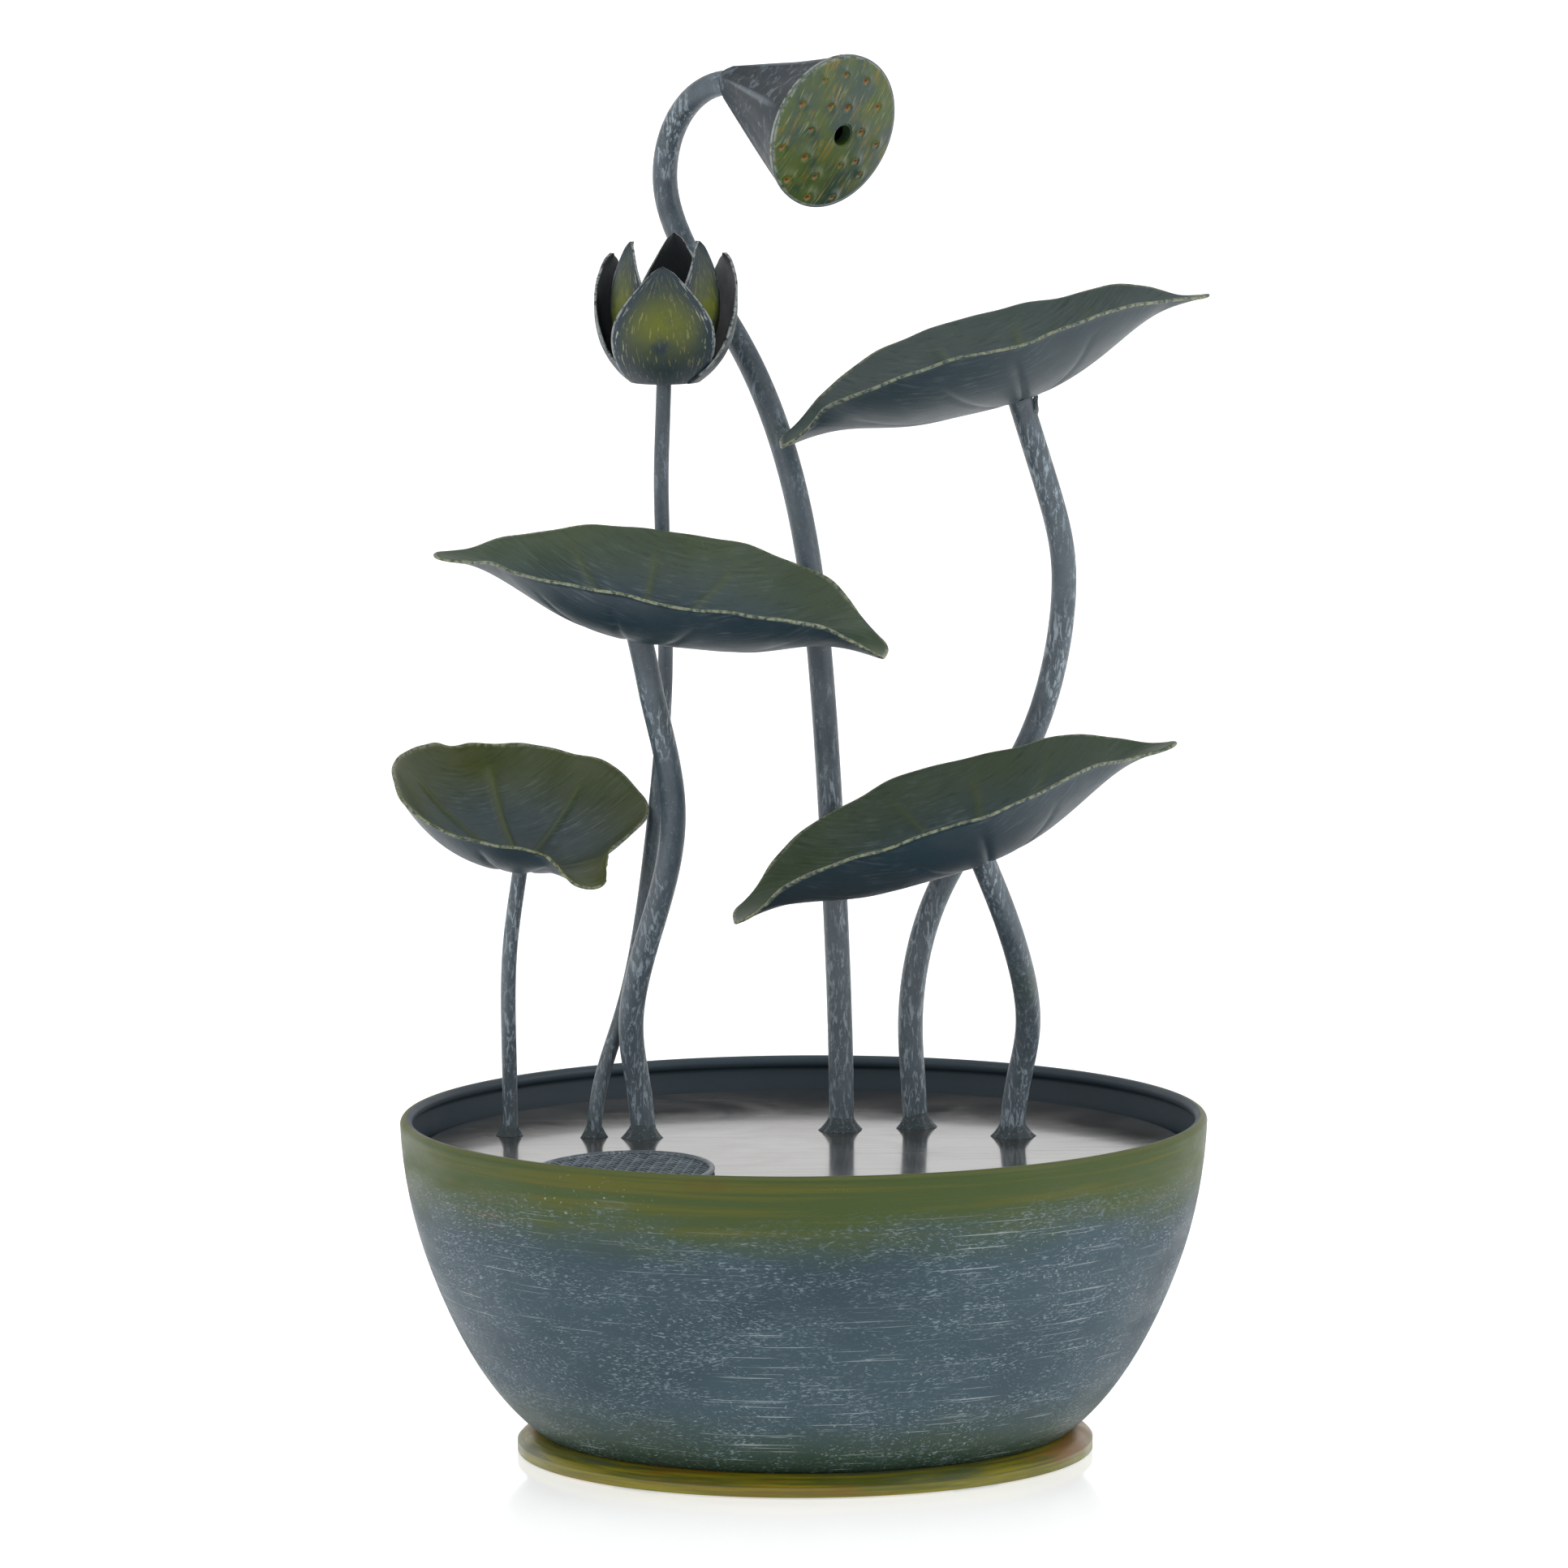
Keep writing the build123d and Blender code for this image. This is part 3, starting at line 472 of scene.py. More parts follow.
def wire_paint():
    g = Graph("wire_paint")
    cloud = g.spots(160, 3)
    colour = g.mix(g.band(cloud, 0.3, 0.7), srgb(84, 96, 104), srgb(128, 140, 148))
    g.bump(g.spots(2600, 3), 0.00004, 0.4)
    return g.finish(colour, g.band(cloud, 0.3, 0.7, 0.34, 0.46), 0.3)


def rubber(name, tone):
    g = Graph(name)
    grain = g.spots(1800, 3)
    dust = g.spots(60, 4)
    colour = g.mix(g.band(dust, 0.4, 0.8, 0, 0.5), srgb(*tone), srgb(*[c + 22 for c in tone]))
    g.bump(grain, 0.0001, 0.35)
    return g.finish(colour, g.band(dust, 0.3, 0.7, 0.55, 0.75), 0.0, 0.35)


def plastic(name, tone, low, high):
    g = Graph(name)
    grain = g.spots(2400, 2)
    cloud = g.spots(80, 3)
    colour = g.mix(g.band(cloud, 0.3, 0.7), srgb(*tone), srgb(*[min(255, c + 10) for c in tone]))
    g.bump(grain, 0.00006, 0.4)
    return g.finish(colour, g.band(cloud, 0.3, 0.7, low, high))


def stripes(g, direction, scale):
    """Fine parallel bands along one axis."""
    wave = g.node("ShaderNodeTexWave")
    wave.bands_direction = direction
    wave.inputs["Scale"].default_value = scale
    g.link(g.object, wave.inputs["Vector"])
    return wave.outputs[1]


def winding():
    """Enamelled copper: fine turns laid side by side."""
    g = Graph("winding")
    turns = stripes(g, "X", 500)
    colour = g.mix(turns, srgb(120, 56, 24), srgb(206, 118, 64))
    g.bump(turns, 0.0002, 0.8)
    return g.finish(colour, 0.3, 0.9)


def laminated_steel():
    g = Graph("laminated_steel")
    layers = stripes(g, "Z", 320)
    oxide = g.spots(220, 4)
    colour = g.mix(layers, srgb(96, 98, 102), srgb(150, 152, 156))
    colour = g.mix(g.band(oxide, 0.6, 0.75, 0, 0.5), colour, srgb(96, 70, 50))
    g.bump(layers, 0.0001, 0.6)
    return g.finish(colour, 0.42, 0.9)


def ground_steel():
    g = Graph("ground_steel")
    line = g.grain(g.object, (200, 4000, 200), 3)
    colour = g.mix(line, srgb(170, 172, 176), srgb(214, 216, 220))
    g.bump(line, 0.00004, 0.4)
    return g.finish(colour, g.band(line, 0.3, 0.7, 0.16, 0.3), 1.0)


def clear_vinyl():
    g = Graph("clear_vinyl")
    cloud = g.spots(120, 3)
    colour = g.mix(cloud, srgb(176, 186, 182), srgb(206, 212, 206))
    g.bump(cloud, 0.0001, 0.3)
    g.shader.inputs["Transmission Weight"].default_value = 0.45
    return g.finish(colour, g.band(cloud, 0.3, 0.7, 0.22, 0.36), 0.0)


# ---------------------------------------------------------------- bowl
BOWL_TURNS = 320
ROLL_ROWS = 22
# The row of the rolled rim from which the inside paint starts
INSIDE_FROM = 9
BOWL_DENT = 0.16 * MM
DENT_FADE = 20 * MM


def bowl_piece():
    """The bowl as one spun shell that follows the CAD section, one sheet thick, with a rolled rim."""
    low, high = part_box("bowl")
    tree = ray_tree("bowl")
    foot_z, crest_z, radius = low[2], high[2], high[0]
    wall_z = np.linspace(foot_z + 0.4 * MM, crest_z - 2 * BEAD, 60)
    profile = []
    for z in wall_z:
        hit = tree.ray_cast(Vector((2 * radius, 0, z)), Vector((-1, 0, 0)))[0]
        profile.append((hit.x, z))
    foot_r = profile[0][0]
    outer = [(r, foot_z) for r in np.linspace(0.001, foot_r - 0.5 * MM, 8)] + profile
    roll = [
        (radius - BEAD + BEAD * math.cos(a), crest_z - BEAD + BEAD * math.sin(a))
        for a in np.linspace(-0.25, 1.35 * math.pi, ROLL_ROWS)
    ]
    inner = [(r - SHEET, z + 0.35 * SHEET) for r, z in profile[::-1]]
    floor = [(r, foot_z + SHEET) for r in np.linspace(foot_r - 2 * SHEET, 0.001, 8)]
    section = np.array(outer + roll + inner + floor)
    turns = full_turn(BOWL_TURNS)
    radii = section[:, :1] * np.ones(BOWL_TURNS)
    levels = section[:, 1:] * np.ones(BOWL_TURNS)
    flat = np.stack([radii * np.cos(turns), radii * np.sin(turns), levels], 2).reshape(-1, 3)
    dent = smooth_noise(flat, 38, 3) * BOWL_DENT
    away = flat[:, :2] / np.maximum(np.linalg.norm(flat[:, :2], axis=1, keepdims=True), 1e-6)
    above_foot = np.clip((flat[:, 2] - foot_z - 3 * MM) / DENT_FADE, 0, 1)
    below_rim = np.clip((crest_z - 4 * MM - flat[:, 2]) / DENT_FADE, 0, 1)
    flat[:, :2] += away * (dent * (above_foot * below_rim))[:, None]
    faces = [f[::-1] for f in grid_faces(len(section), BOWL_TURNS, wrap=True)]
    obj = piece("bowl_shell", flat, faces, "bowl_body", bowl_paint(crest_z, foot_z))
    obj.data.materials.append(bowl_inside_paint())
    first_inner = len(outer) + INSIDE_FROM
    for polygon in obj.data.polygons:
        if polygon.index // BOWL_TURNS >= first_inner:
            polygon.material_index = 1
    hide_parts("bowl")


# ---------------------------------------------------------------- leaves
LEAF_SPOKES = 288
LEAF_RINGS = 44
EDGE_SAMPLES = 1440
# The mesh stops this share of the way out, where rays still hit the sheet
EDGE_INSET = 0.992
RAY_LIFT = 100 * MM
VEIN_WIDTH = 1.35 * MM
VEIN_HEIGHT = 1.05 * MM
# A vein counts only within this many radians of its own direction
VEIN_REACH = 1.2
HAMMER_DEPTH = 0.12 * MM
RIPPLE = 0.45 * MM


def long_axes(points, triangles):
    """A leaf's own axes: x downhill along its length, z up out of the dish."""
    corners = points[triangles]
    areas = np.linalg.norm(np.cross(corners[:, 1] - corners[:, 0], corners[:, 2] - corners[:, 0]), axis=1)
    middles = corners.mean(axis=1)
    centre = (middles * areas[:, None]).sum(0) / areas.sum()
    spread = (middles - centre) * np.sqrt(areas)[:, None]
    axes = np.linalg.svd(spread, full_matrices=False)[2]
    x_axis, z_axis = axes[0], axes[2]
    if z_axis[2] < 0:
        z_axis = -z_axis
    if x_axis[2] > 0:
        x_axis = -x_axis
    return x_axis, np.cross(z_axis, x_axis), z_axis


def edge_distance(tree, centre, axes, reach, spokes):
    """Distance from the stem to the leaf's edge along each spoke, found with rays cast at the sheet."""
    x_axis, y_axis, z_axis = axes
    distances = []
    for turn in spokes:
        direction = math.cos(turn) * x_axis + math.sin(turn) * y_axis
        inside, outside = 0.0, reach
        for _ in range(16):
            middle = (inside + outside) / 2
            start = centre + direction * middle + z_axis * RAY_LIFT
            if tree.ray_cast(Vector(start), Vector(-z_axis))[0] is None:
                outside = middle
            else:
                inside = middle
        distances.append(inside)
    return np.array(distances)


def leaf_edge(tree, centre, axes, reach, smoothing):
    """Evenly spaced points along the leaf's edge, in its own plane, smoothed a number of times."""
    spokes = full_turn(EDGE_SAMPLES)
    distance = edge_distance(tree, centre, axes, reach, spokes)
    loop = np.stack([distance * np.cos(spokes), distance * np.sin(spokes)], 1)
    steps = np.linalg.norm(np.roll(loop, -1, axis=0) - loop, axis=1)
    along = np.concatenate([[0], np.cumsum(steps)])
    marks = np.linspace(0, along[-1], LEAF_SPOKES, endpoint=False)
    closed = np.vstack([loop, loop[:1]])
    edge = np.stack([np.interp(marks, along, closed[:, axis]) for axis in (0, 1)], 1)
    for _ in range(smoothing):
        edge = 0.5 * edge + 0.25 * (np.roll(edge, 1, axis=0) + np.roll(edge, -1, axis=0))
    return edge


def leaf_grid(tree, centre, axes, edge, share):
    """The CAD sheet's upper surface on rings from the stem to the edge: two flat coordinates and a height."""
    x_axis, y_axis, z_axis = axes
    grid = np.zeros((LEAF_RINGS, LEAF_SPOKES, 3))
    for r, portion in enumerate(share):
        for s in range(LEAF_SPOKES):
            u, v = edge[s] * portion * EDGE_INSET
            start = centre + u * x_axis + v * y_axis + z_axis * RAY_LIFT
            hit = tree.ray_cast(Vector(start), Vector(-z_axis))[0]
            height = (np.array(hit) - centre) @ z_axis if hit else grid[r - 1, s, 2]
            grid[r, s] = (u, v, height)
    return grid


def leaf_veins(edge, share, veins):
    """How high each grid point stands in a vein, 0-1. A vein is a turn in degrees and a strength."""
    angles = np.arctan2(edge[:, 1], edge[:, 0])
    edge_length = np.linalg.norm(edge, axis=1)
    fade = np.clip(share / 0.18, 0, 1) * np.clip((0.93 - share) / 0.14, 0, 1)
    raised = np.zeros((LEAF_RINGS, LEAF_SPOKES))
    for degrees, strength in veins:
        turn = math.radians(degrees)
        away = np.abs((angles - turn + math.pi) % (2 * math.pi) - math.pi)
        near = np.where(away < VEIN_REACH, 1.0, 0.0)
        cross = share[:, None] * edge_length * np.sin(np.minimum(away, VEIN_REACH))
        ridge = np.exp(-(cross / VEIN_WIDTH) ** 2) * near
        raised = np.maximum(raised, ridge * fade[:, None] * strength)
    return raised


def rim_wave(seed):
    """A gentle wave round a leaf's rim: four harmonics with their own phases."""
    arc = full_turn(LEAF_SPOKES)
    phases = np.random.default_rng(seed).uniform(0, 6.28, 4)
    return sum(np.sin(k * arc + p) * a for k, p, a in zip((5, 8, 13, 21), phases, (1, 0.8, 0.45, 0.25)))


def leaf_piece(name, material, veins, smoothing, seed):
    """A pressed leaf on the CAD sheet's own surface: embossed veins, a rippled rim and real thickness."""
    points, triangles = node_mesh(name)
    tree = ray_tree(name)
    axes = x_axis, y_axis, z_axis = long_axes(points, triangles)
    stem = node_mesh(name + "_stem")[0]
    centre = stem[stem[:, 2] > stem[:, 2].max() - 4 * MM].mean(axis=0)
    reach = np.abs([(points - centre) @ axis for axis in (x_axis, y_axis)]).max() * 1.2
    edge = leaf_edge(tree, centre, axes, reach, smoothing)
    share = np.linspace(0, 1, LEAF_RINGS) ** 0.85
    flat = leaf_grid(tree, centre, axes, edge, share).reshape(-1, 3)
    vein_map = leaf_veins(edge, share, veins)
    hem = (share ** 5)[:, None] * rim_wave(seed)[None] * RIPPLE
    lift = (vein_map * VEIN_HEIGHT + hem).reshape(-1)
    world = centre + flat[:, :1] * x_axis + flat[:, 1:2] * y_axis + (flat[:, 2] + lift)[:, None] * z_axis
    hammered = smooth_noise(world, 130, seed + 50) * HAMMER_DEPTH
    world += hammered[:, None] * z_axis
    top = world.reshape(LEAF_RINGS, LEAF_SPOKES, 3)
    around = np.roll(top, -1, axis=1) - np.roll(top, 1, axis=1)
    normal = np.cross(np.gradient(top, axis=0), around)
    normal /= np.maximum(np.linalg.norm(normal, axis=2, keepdims=True), 1e-12)
    normal[normal @ z_axis < 0] *= -1
    normal[0] = z_axis
    lower = top - normal * SHEET * 0.95
    outward = top[-1] - top[-2]
    outward /= np.linalg.norm(outward, axis=1, keepdims=True)
    lip = (top[-1] + lower[-1]) / 2 + outward * 0.35 * MM
    body = np.concatenate([top.reshape(-1, 3), lip, lower[::-1].reshape(-1, 3)])
    faces = grid_faces(2 * LEAF_RINGS + 1, LEAF_SPOKES, wrap=True)
    one_side, rim = LEAF_RINGS * LEAF_SPOKES, LEAF_SPOKES
    worn = np.concatenate([np.repeat(share, rim), np.ones(rim), np.repeat(share[::-1], rim)])
    under = np.concatenate([np.zeros(one_side), np.full(rim, 0.5), np.ones(one_side)])
    vein = np.concatenate([vein_map.reshape(-1), np.zeros(rim), vein_map[::-1].reshape(-1)])
    along, across = ((body - centre) @ axis for axis in (x_axis, y_axis))
    obj = piece(name + "_sheet", body, faces, "deck_body", material, worn)
    add_values(obj, under=under, vein=vein, along=along, across=across)
    close_poles(obj)
    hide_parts(name)


def close_poles(obj):
    """Welds points that coincide, drops the slivers this leaves and turns all faces outwards."""
    mesh = bmesh.new()
    mesh.from_mesh(obj.data)
    bmesh.ops.remove_doubles(mesh, verts=mesh.verts, dist=1e-6)
    bmesh.ops.dissolve_degenerate(mesh, edges=mesh.edges, dist=1e-7)
    bmesh.ops.recalc_face_normals(mesh, faces=mesh.faces)
    mesh.to_mesh(obj.data)
    mesh.free()
    obj.data.shade_smooth()


# ---------------------------------------------------------------- flower
# A petal from its foot to its tip: share of the height, share of the greatest radius, half angle in degrees
PETAL = [
    (0.00, 0.50, 70), (0.06, 0.63, 66), (0.15, 0.77, 60), (0.28, 0.90, 54), (0.43, 0.98, 49),
    (0.56, 1.00, 43), (0.68, 0.98, 34.5), (0.80, 0.945, 24.5), (0.90, 0.90, 15.5), (0.965, 0.87, 8),
    (1.0, 0.85, 0),
]
PETAL_SHEET = 0.8 * MM
PETAL_ROWS = 44
PETAL_COLUMNS = 37
FLOOR_ROWS = 5
EDGE_CURL = 0.8 * MM
# Each petal: where it faces in degrees, greatest radius, pull of its tip, share of the flower's height
OUTER_PETALS = ((270, 20.9 * MM, 1.0, 0.935), (150, 21.0 * MM, 1.03, 0.985), (24, 22.6 * MM, 1.08, 0.985))
INNER_PETALS = ((76, 16.8 * MM, 0.98, 1.0), (212, 16.2 * MM, 0.82, 0.975), (327, 17.2 * MM, 0.88, 0.98))


def smooth_table(rows, count):
    """A table of rows resampled with a smooth curve through every row."""
    table = np.array(rows, dtype=float)
    slope = np.gradient(table[:, 1:], table[:, 0], axis=0)
    result = []
    for x in np.linspace(table[0, 0], table[-1, 0], count):
        k = min(int(np.searchsorted(table[:, 0], x, side="right")) - 1, len(table) - 2)
        width = table[k + 1, 0] - table[k, 0]
        t = (x - table[k, 0]) / width
        value = (
            (2 * t ** 3 - 3 * t ** 2 + 1) * table[k, 1:] + (t ** 3 - 2 * t ** 2 + t) * width * slope[k]
            + (3 * t ** 2 - 2 * t ** 3) * table[k + 1, 1:] + (t ** 3 - t ** 2) * width * slope[k + 1]
        )
        result.append((x, *value))
    return np.array(result)


def petal_surface(centre, base, facing, radius, tip_radius, height, thickness):
    """Outer and inner skins of one petal as grids of points, and the values its material needs there."""
    rows = smooth_table(PETAL, PETAL_ROWS)
    across = np.linspace(-1, 1, PETAL_COLUMNS)
    skins = []
    for inset in (0.0, thickness):
        skin = []
        foot = rows[0, 1] * radius
        for portion in np.linspace(0.02, 0.98, FLOOR_ROWS):
            turn = math.radians(facing) + across * math.radians(rows[0, 2])
            skin.append(np.stack([portion * foot * np.cos(turn), portion * foot * np.sin(turn),
                                  np.full(len(across), inset)], 1))
        for share, reach, half in rows:
            turn = math.radians(facing) + across * math.radians(max(half, 0.0))
            pull = 1 + (tip_radius - 1) * max(0.0, (share - 0.45) / 0.55) ** 1.5
            curl = EDGE_CURL * across ** 2 * min(1.0, share / 0.3)
            r = radius * reach * pull - inset + curl
            skin.append(np.stack([r * np.cos(turn), r * np.sin(turn),
                                  np.full(len(across), share * height + inset * max(0.0, 1 - share * 8))], 1))
        skins.append(np.array(skin) + np.array([centre[0], centre[1], base]))
    shares = np.concatenate([np.zeros(FLOOR_ROWS), rows[:, 0]])[:, None]
    edge = np.maximum(np.abs(across), np.clip((shares - 0.90) / 0.10, 0, 1))
    belly = np.clip(1 - (across / 0.85) ** 2, 0, 1) * np.exp(-((shares - 0.52) / 0.24) ** 2)
    zeros = np.zeros(edge.shape)
    return skins, {
        "worn": np.where(shares > 0.05, edge, 0.4 * edge), "belly": belly,
        "across": across * radius + zeros, "along": shares * height + zeros,
    }


def flower_piece(name, node, petals, material):
    """Three pressed petals that share a flat floor, each one sheet thick with a closed edge."""
    low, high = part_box(node)
    centre = node_centre(node)
    points, faces = [], []
    layers = {"worn": [], "under": [], "belly": [], "across": [], "along": []}
    height = high[2] - low[2]
    for facing, radius, tip_radius, tall in petals:
        skins, values = petal_surface(centre, low[2], facing, radius, tip_radius, height * tall, PETAL_SHEET)
        rows, columns = values["worn"].shape
        start, count = len(points), rows * columns
        for side, skin in enumerate(skins):
            points.extend(skin.reshape(-1, 3))
            # under is 1 on each petal's inner skin, which the petal paint darkens to painted shade.
            layers["under"].extend([float(side)] * count)
            for label, grid in values.items():
                layers[label].extend(grid.reshape(-1))
        faces += grid_faces(rows, columns, offset=start)
        faces += [f[::-1] for f in grid_faces(rows, columns, offset=start + count)]
        border = [r * columns for r in range(rows)]
        border += [r * columns + columns - 1 for r in range(rows - 1, -1, -1)]
        for first, second in zip(border, border[1:]):
            faces.append((start + second, start + first, start + count + first, start + count + second))
    obj = piece(name, points, faces, "deck_body", material)
    add_values(obj, **layers)
    close_poles(obj)
    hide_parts(node)


# ---------------------------------------------------------------- seed pod
# The pod faces this way from its neck: degrees round from +X, and degrees below level
POD_TURN = math.radians(-48.7)
POD_DROP = math.radians(15.2)


def pod_end(points, direction, right, up, sign):
    """Centre and radius of the cone's ring of points that lies furthest along sign times direction."""
    reach = sign * (points @ direction)
    ring = points[reach > reach.max() - 0.6 * MM]
    across, above = ring @ right, ring @ up
    middle = [(side.max() + side.min()) / 2 for side in (across, above)]
    centre = direction * (sign * reach.max()) + right * middle[0] + up * middle[1]
    return centre, (across.max() - across.min()) / 2


def pod_axes():
    """The pod's narrow end, its face centre and its axes, from the CAD cone."""
    cone = node_mesh("pod_cone")[0]
    level = math.cos(POD_DROP)
    direction = np.array([math.cos(POD_TURN) * level, math.sin(POD_TURN) * level, -math.sin(POD_DROP)])
    right = np.cross(direction, (0, 0, 1))
    right /= np.linalg.norm(right)
    up = np.cross(right, direction)
    neck, neck_radius = pod_end(cone, direction, right, up, -1)
    rim, radius = pod_end(cone, direction, right, up, 1)
    return neck, rim, direction, right, up, (rim - neck) @ direction, radius, neck_radius


# Seeds on the pod's face: turn in degrees from its right side, share of the face's radius
OUTER_SEEDS = [(34, 0.79), (65, 0.81), (90, 0.79), (117, 0.78), (151, 0.71), (193, 0.73), (227, 0.77),
               (260, 0.85), (288, 0.85), (320, 0.86), (352, 0.86)]
INNER_SEEDS = [(13, 0.48), (63, 0.45), (102, 0.38), (175, 0.38), (223, 0.53), (252, 0.42), (295, 0.58),
               (332, 0.54)]
# Creases down the cone, in degrees round its axis
CREASES = (20, 68, 118, 165, 214, 262, 312)
CONE_TURNS = 224
CONE_ROWS = 56
CREASE_HEIGHT = 0.75 * MM
FACET_DEPTH = 1.15 * MM
CONE_SHEET = 0.8 * MM
NECK_TAPER = 0.8 * MM
FACE_SHEET = 0.7 * MM
FACE_DOME = 2.6 * MM
FACE_TURNS = 300
FACE_ROWS = 96
NOZZLE_HOLE = 3.8 * MM
SEED_HEIGHT = 0.95 * MM
PIT_DEPTH = 1.25 * MM
# How rusty a seed's top is next to its pit
SEED_RUST = 0.3135
STROKE_LEAN = math.radians(27)


def cone_piece(neck, direction, right, up, length, radius, neck_radius):
    """The pod's cone, folded from sheet: long soft facets between seven creases, with a worn rolled rim."""
    turns = full_turn(CONE_TURNS)
    fold, facet = np.zeros(len(turns)), np.zeros(len(turns))
    for crease in CREASES:
        away = (turns - math.radians(crease) + math.pi) % (2 * math.pi) - math.pi
        fold += np.exp(-(away / 0.075) ** 2)
        facet = np.maximum(facet, np.cos(np.clip(away * 3.5, -math.pi / 2, math.pi / 2)))
    rings, worn = [], []
    for inset in (0.0, CONE_SHEET):
        shares = np.linspace(0, 1, CONE_ROWS)
        for t in shares if inset == 0 else shares[::-1]:
            base = neck_radius + (radius - neck_radius) * t ** 1.06 - NECK_TAPER * max(0.0, 1 - t / 0.07)
            depth = math.sin(math.pi * min(1.0, t)) ** 0.7
            profile = base + (CREASE_HEIGHT * fold - FACET_DEPTH * (1 - facet)) * depth - inset
            rings.append(neck + direction * (length * t)
                         + profile[:, None] * (np.cos(turns)[:, None] * right + np.sin(turns)[:, None] * up))
            worn.append(np.maximum(0.8 * fold * depth, 1.0 if t > 0.985 else 0.0))
    faces = grid_faces(len(rings), CONE_TURNS, wrap=True)
    cone = piece("pod_shell", np.concatenate(rings), faces, "deck_body", pod_cone_paint(),
                 np.concatenate(worn))
    close_poles(cone)
    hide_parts("pod_cone")


def face_piece(rim, direction, right, up, radius):
    """The pod's domed face with raised seeds, a pit below each one, and a hole for the nozzle."""
    face_r = radius - 0.1 * MM
    nozzle_points = node_mesh("pod_nozzle")[0]
    nozzle = (nozzle_points.max(axis=0) + nozzle_points.min(axis=0)) / 2
    hole = np.array([(nozzle - rim) @ right, (nozzle - rim) @ up])
    seeds = [(face_r * share * math.cos(math.radians(turn)), face_r * share * math.sin(math.radians(turn)))
             for turn, share in OUTER_SEEDS + INNER_SEEDS]
    turns = full_turn(FACE_TURNS)
    spoke = np.stack([np.cos(turns), np.sin(turns)], 1)
    past = spoke @ hole
    outer = -past + np.sqrt(past ** 2 - hole @ hole + face_r ** 2)
    grid, pits, edge, across, along = [], [], [], [], []
    for t in np.linspace(0, 1, FACE_ROWS):
        spot = hole + spoke * (NOZZLE_HOLE + (outer - NOZZLE_HOLE) * t)[:, None]
        radial = np.linalg.norm(spot, axis=1) / face_r
        level = FACE_DOME * (1 - radial ** 2) - 0.9 * MM * np.clip((radial - 0.95) / 0.05, 0, 1) ** 2
        pit, mound = np.zeros(len(turns)), np.zeros(len(turns))
        for index, (u, v) in enumerate(seeds):
            size = (1.0 + 0.18 * math.sin(5.0 * index)) * MM
            gap = np.hypot(spot[:, 0] - u, spot[:, 1] - v)
            low = np.hypot(spot[:, 0] - u - 0.35 * size, spot[:, 1] - v + 0.75 * size)
            mound += np.exp(-(gap / (1.9 * size)) ** 2)
            pit = np.maximum(pit, np.exp(-(low / (0.95 * size)) ** 2))
        level = level + SEED_HEIGHT * mound - PIT_DEPTH * pit
        grid.append(rim + spot[:, :1] * right + spot[:, 1:] * up + (level + 0.4 * MM)[:, None] * direction)
        pits.append(np.maximum(pit, SEED_RUST * mound))
        edge.append(radial)
        across.append(spot[:, 0] * math.cos(STROKE_LEAN) + spot[:, 1] * math.sin(STROKE_LEAN))
        along.append(spot[:, 1] * math.cos(STROKE_LEAN) - spot[:, 0] * math.sin(STROKE_LEAN))
    front = np.concatenate(grid)
    back = np.concatenate([ring - direction * FACE_SHEET for ring in grid[::-1]])
    rows = 2 * len(grid)
    values = np.concatenate([np.concatenate(pits), np.zeros(len(back))])
    wear = np.concatenate([np.concatenate(edge), np.ones(len(back))])
    faces = grid_faces(rows, FACE_TURNS, wrap=True)
    last = (rows - 1) * FACE_TURNS
    faces += [(last + c, last + (c + 1) % FACE_TURNS, (c + 1) % FACE_TURNS, c) for c in range(FACE_TURNS)]
    face = piece("pod_seed_face", np.concatenate([front, back]), faces, "deck_body",
                 pod_face_paint(), wear)
    add_values(face, vein=values, across=across + across[::-1], along=along + along[::-1])
    close_poles(face)
    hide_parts("pod_face")


def pod_pieces():
    neck, rim, direction, right, up, length, radius, neck_radius = pod_axes()
    cone_piece(neck, direction, right, up, length, radius, neck_radius)
    face_piece(rim, direction, right, up, radius)


# ---------------------------------------------------------------- welds
STEMS = ("spout_stem", "upper_leaf_stem", "middle_leaf_stem", "lower_leaf_stem", "small_leaf_stem",
         "flower_stem")
BEAD_ROWS, BEAD_COLUMNS = 22, 96
RUN_ROWS, RUN_COLUMNS = 34, 28
RUN_WIDTH = 2.6 * MM
RUN_LENGTH = 10.5 * MM
RUN_OFFSET = 3.4 * MM


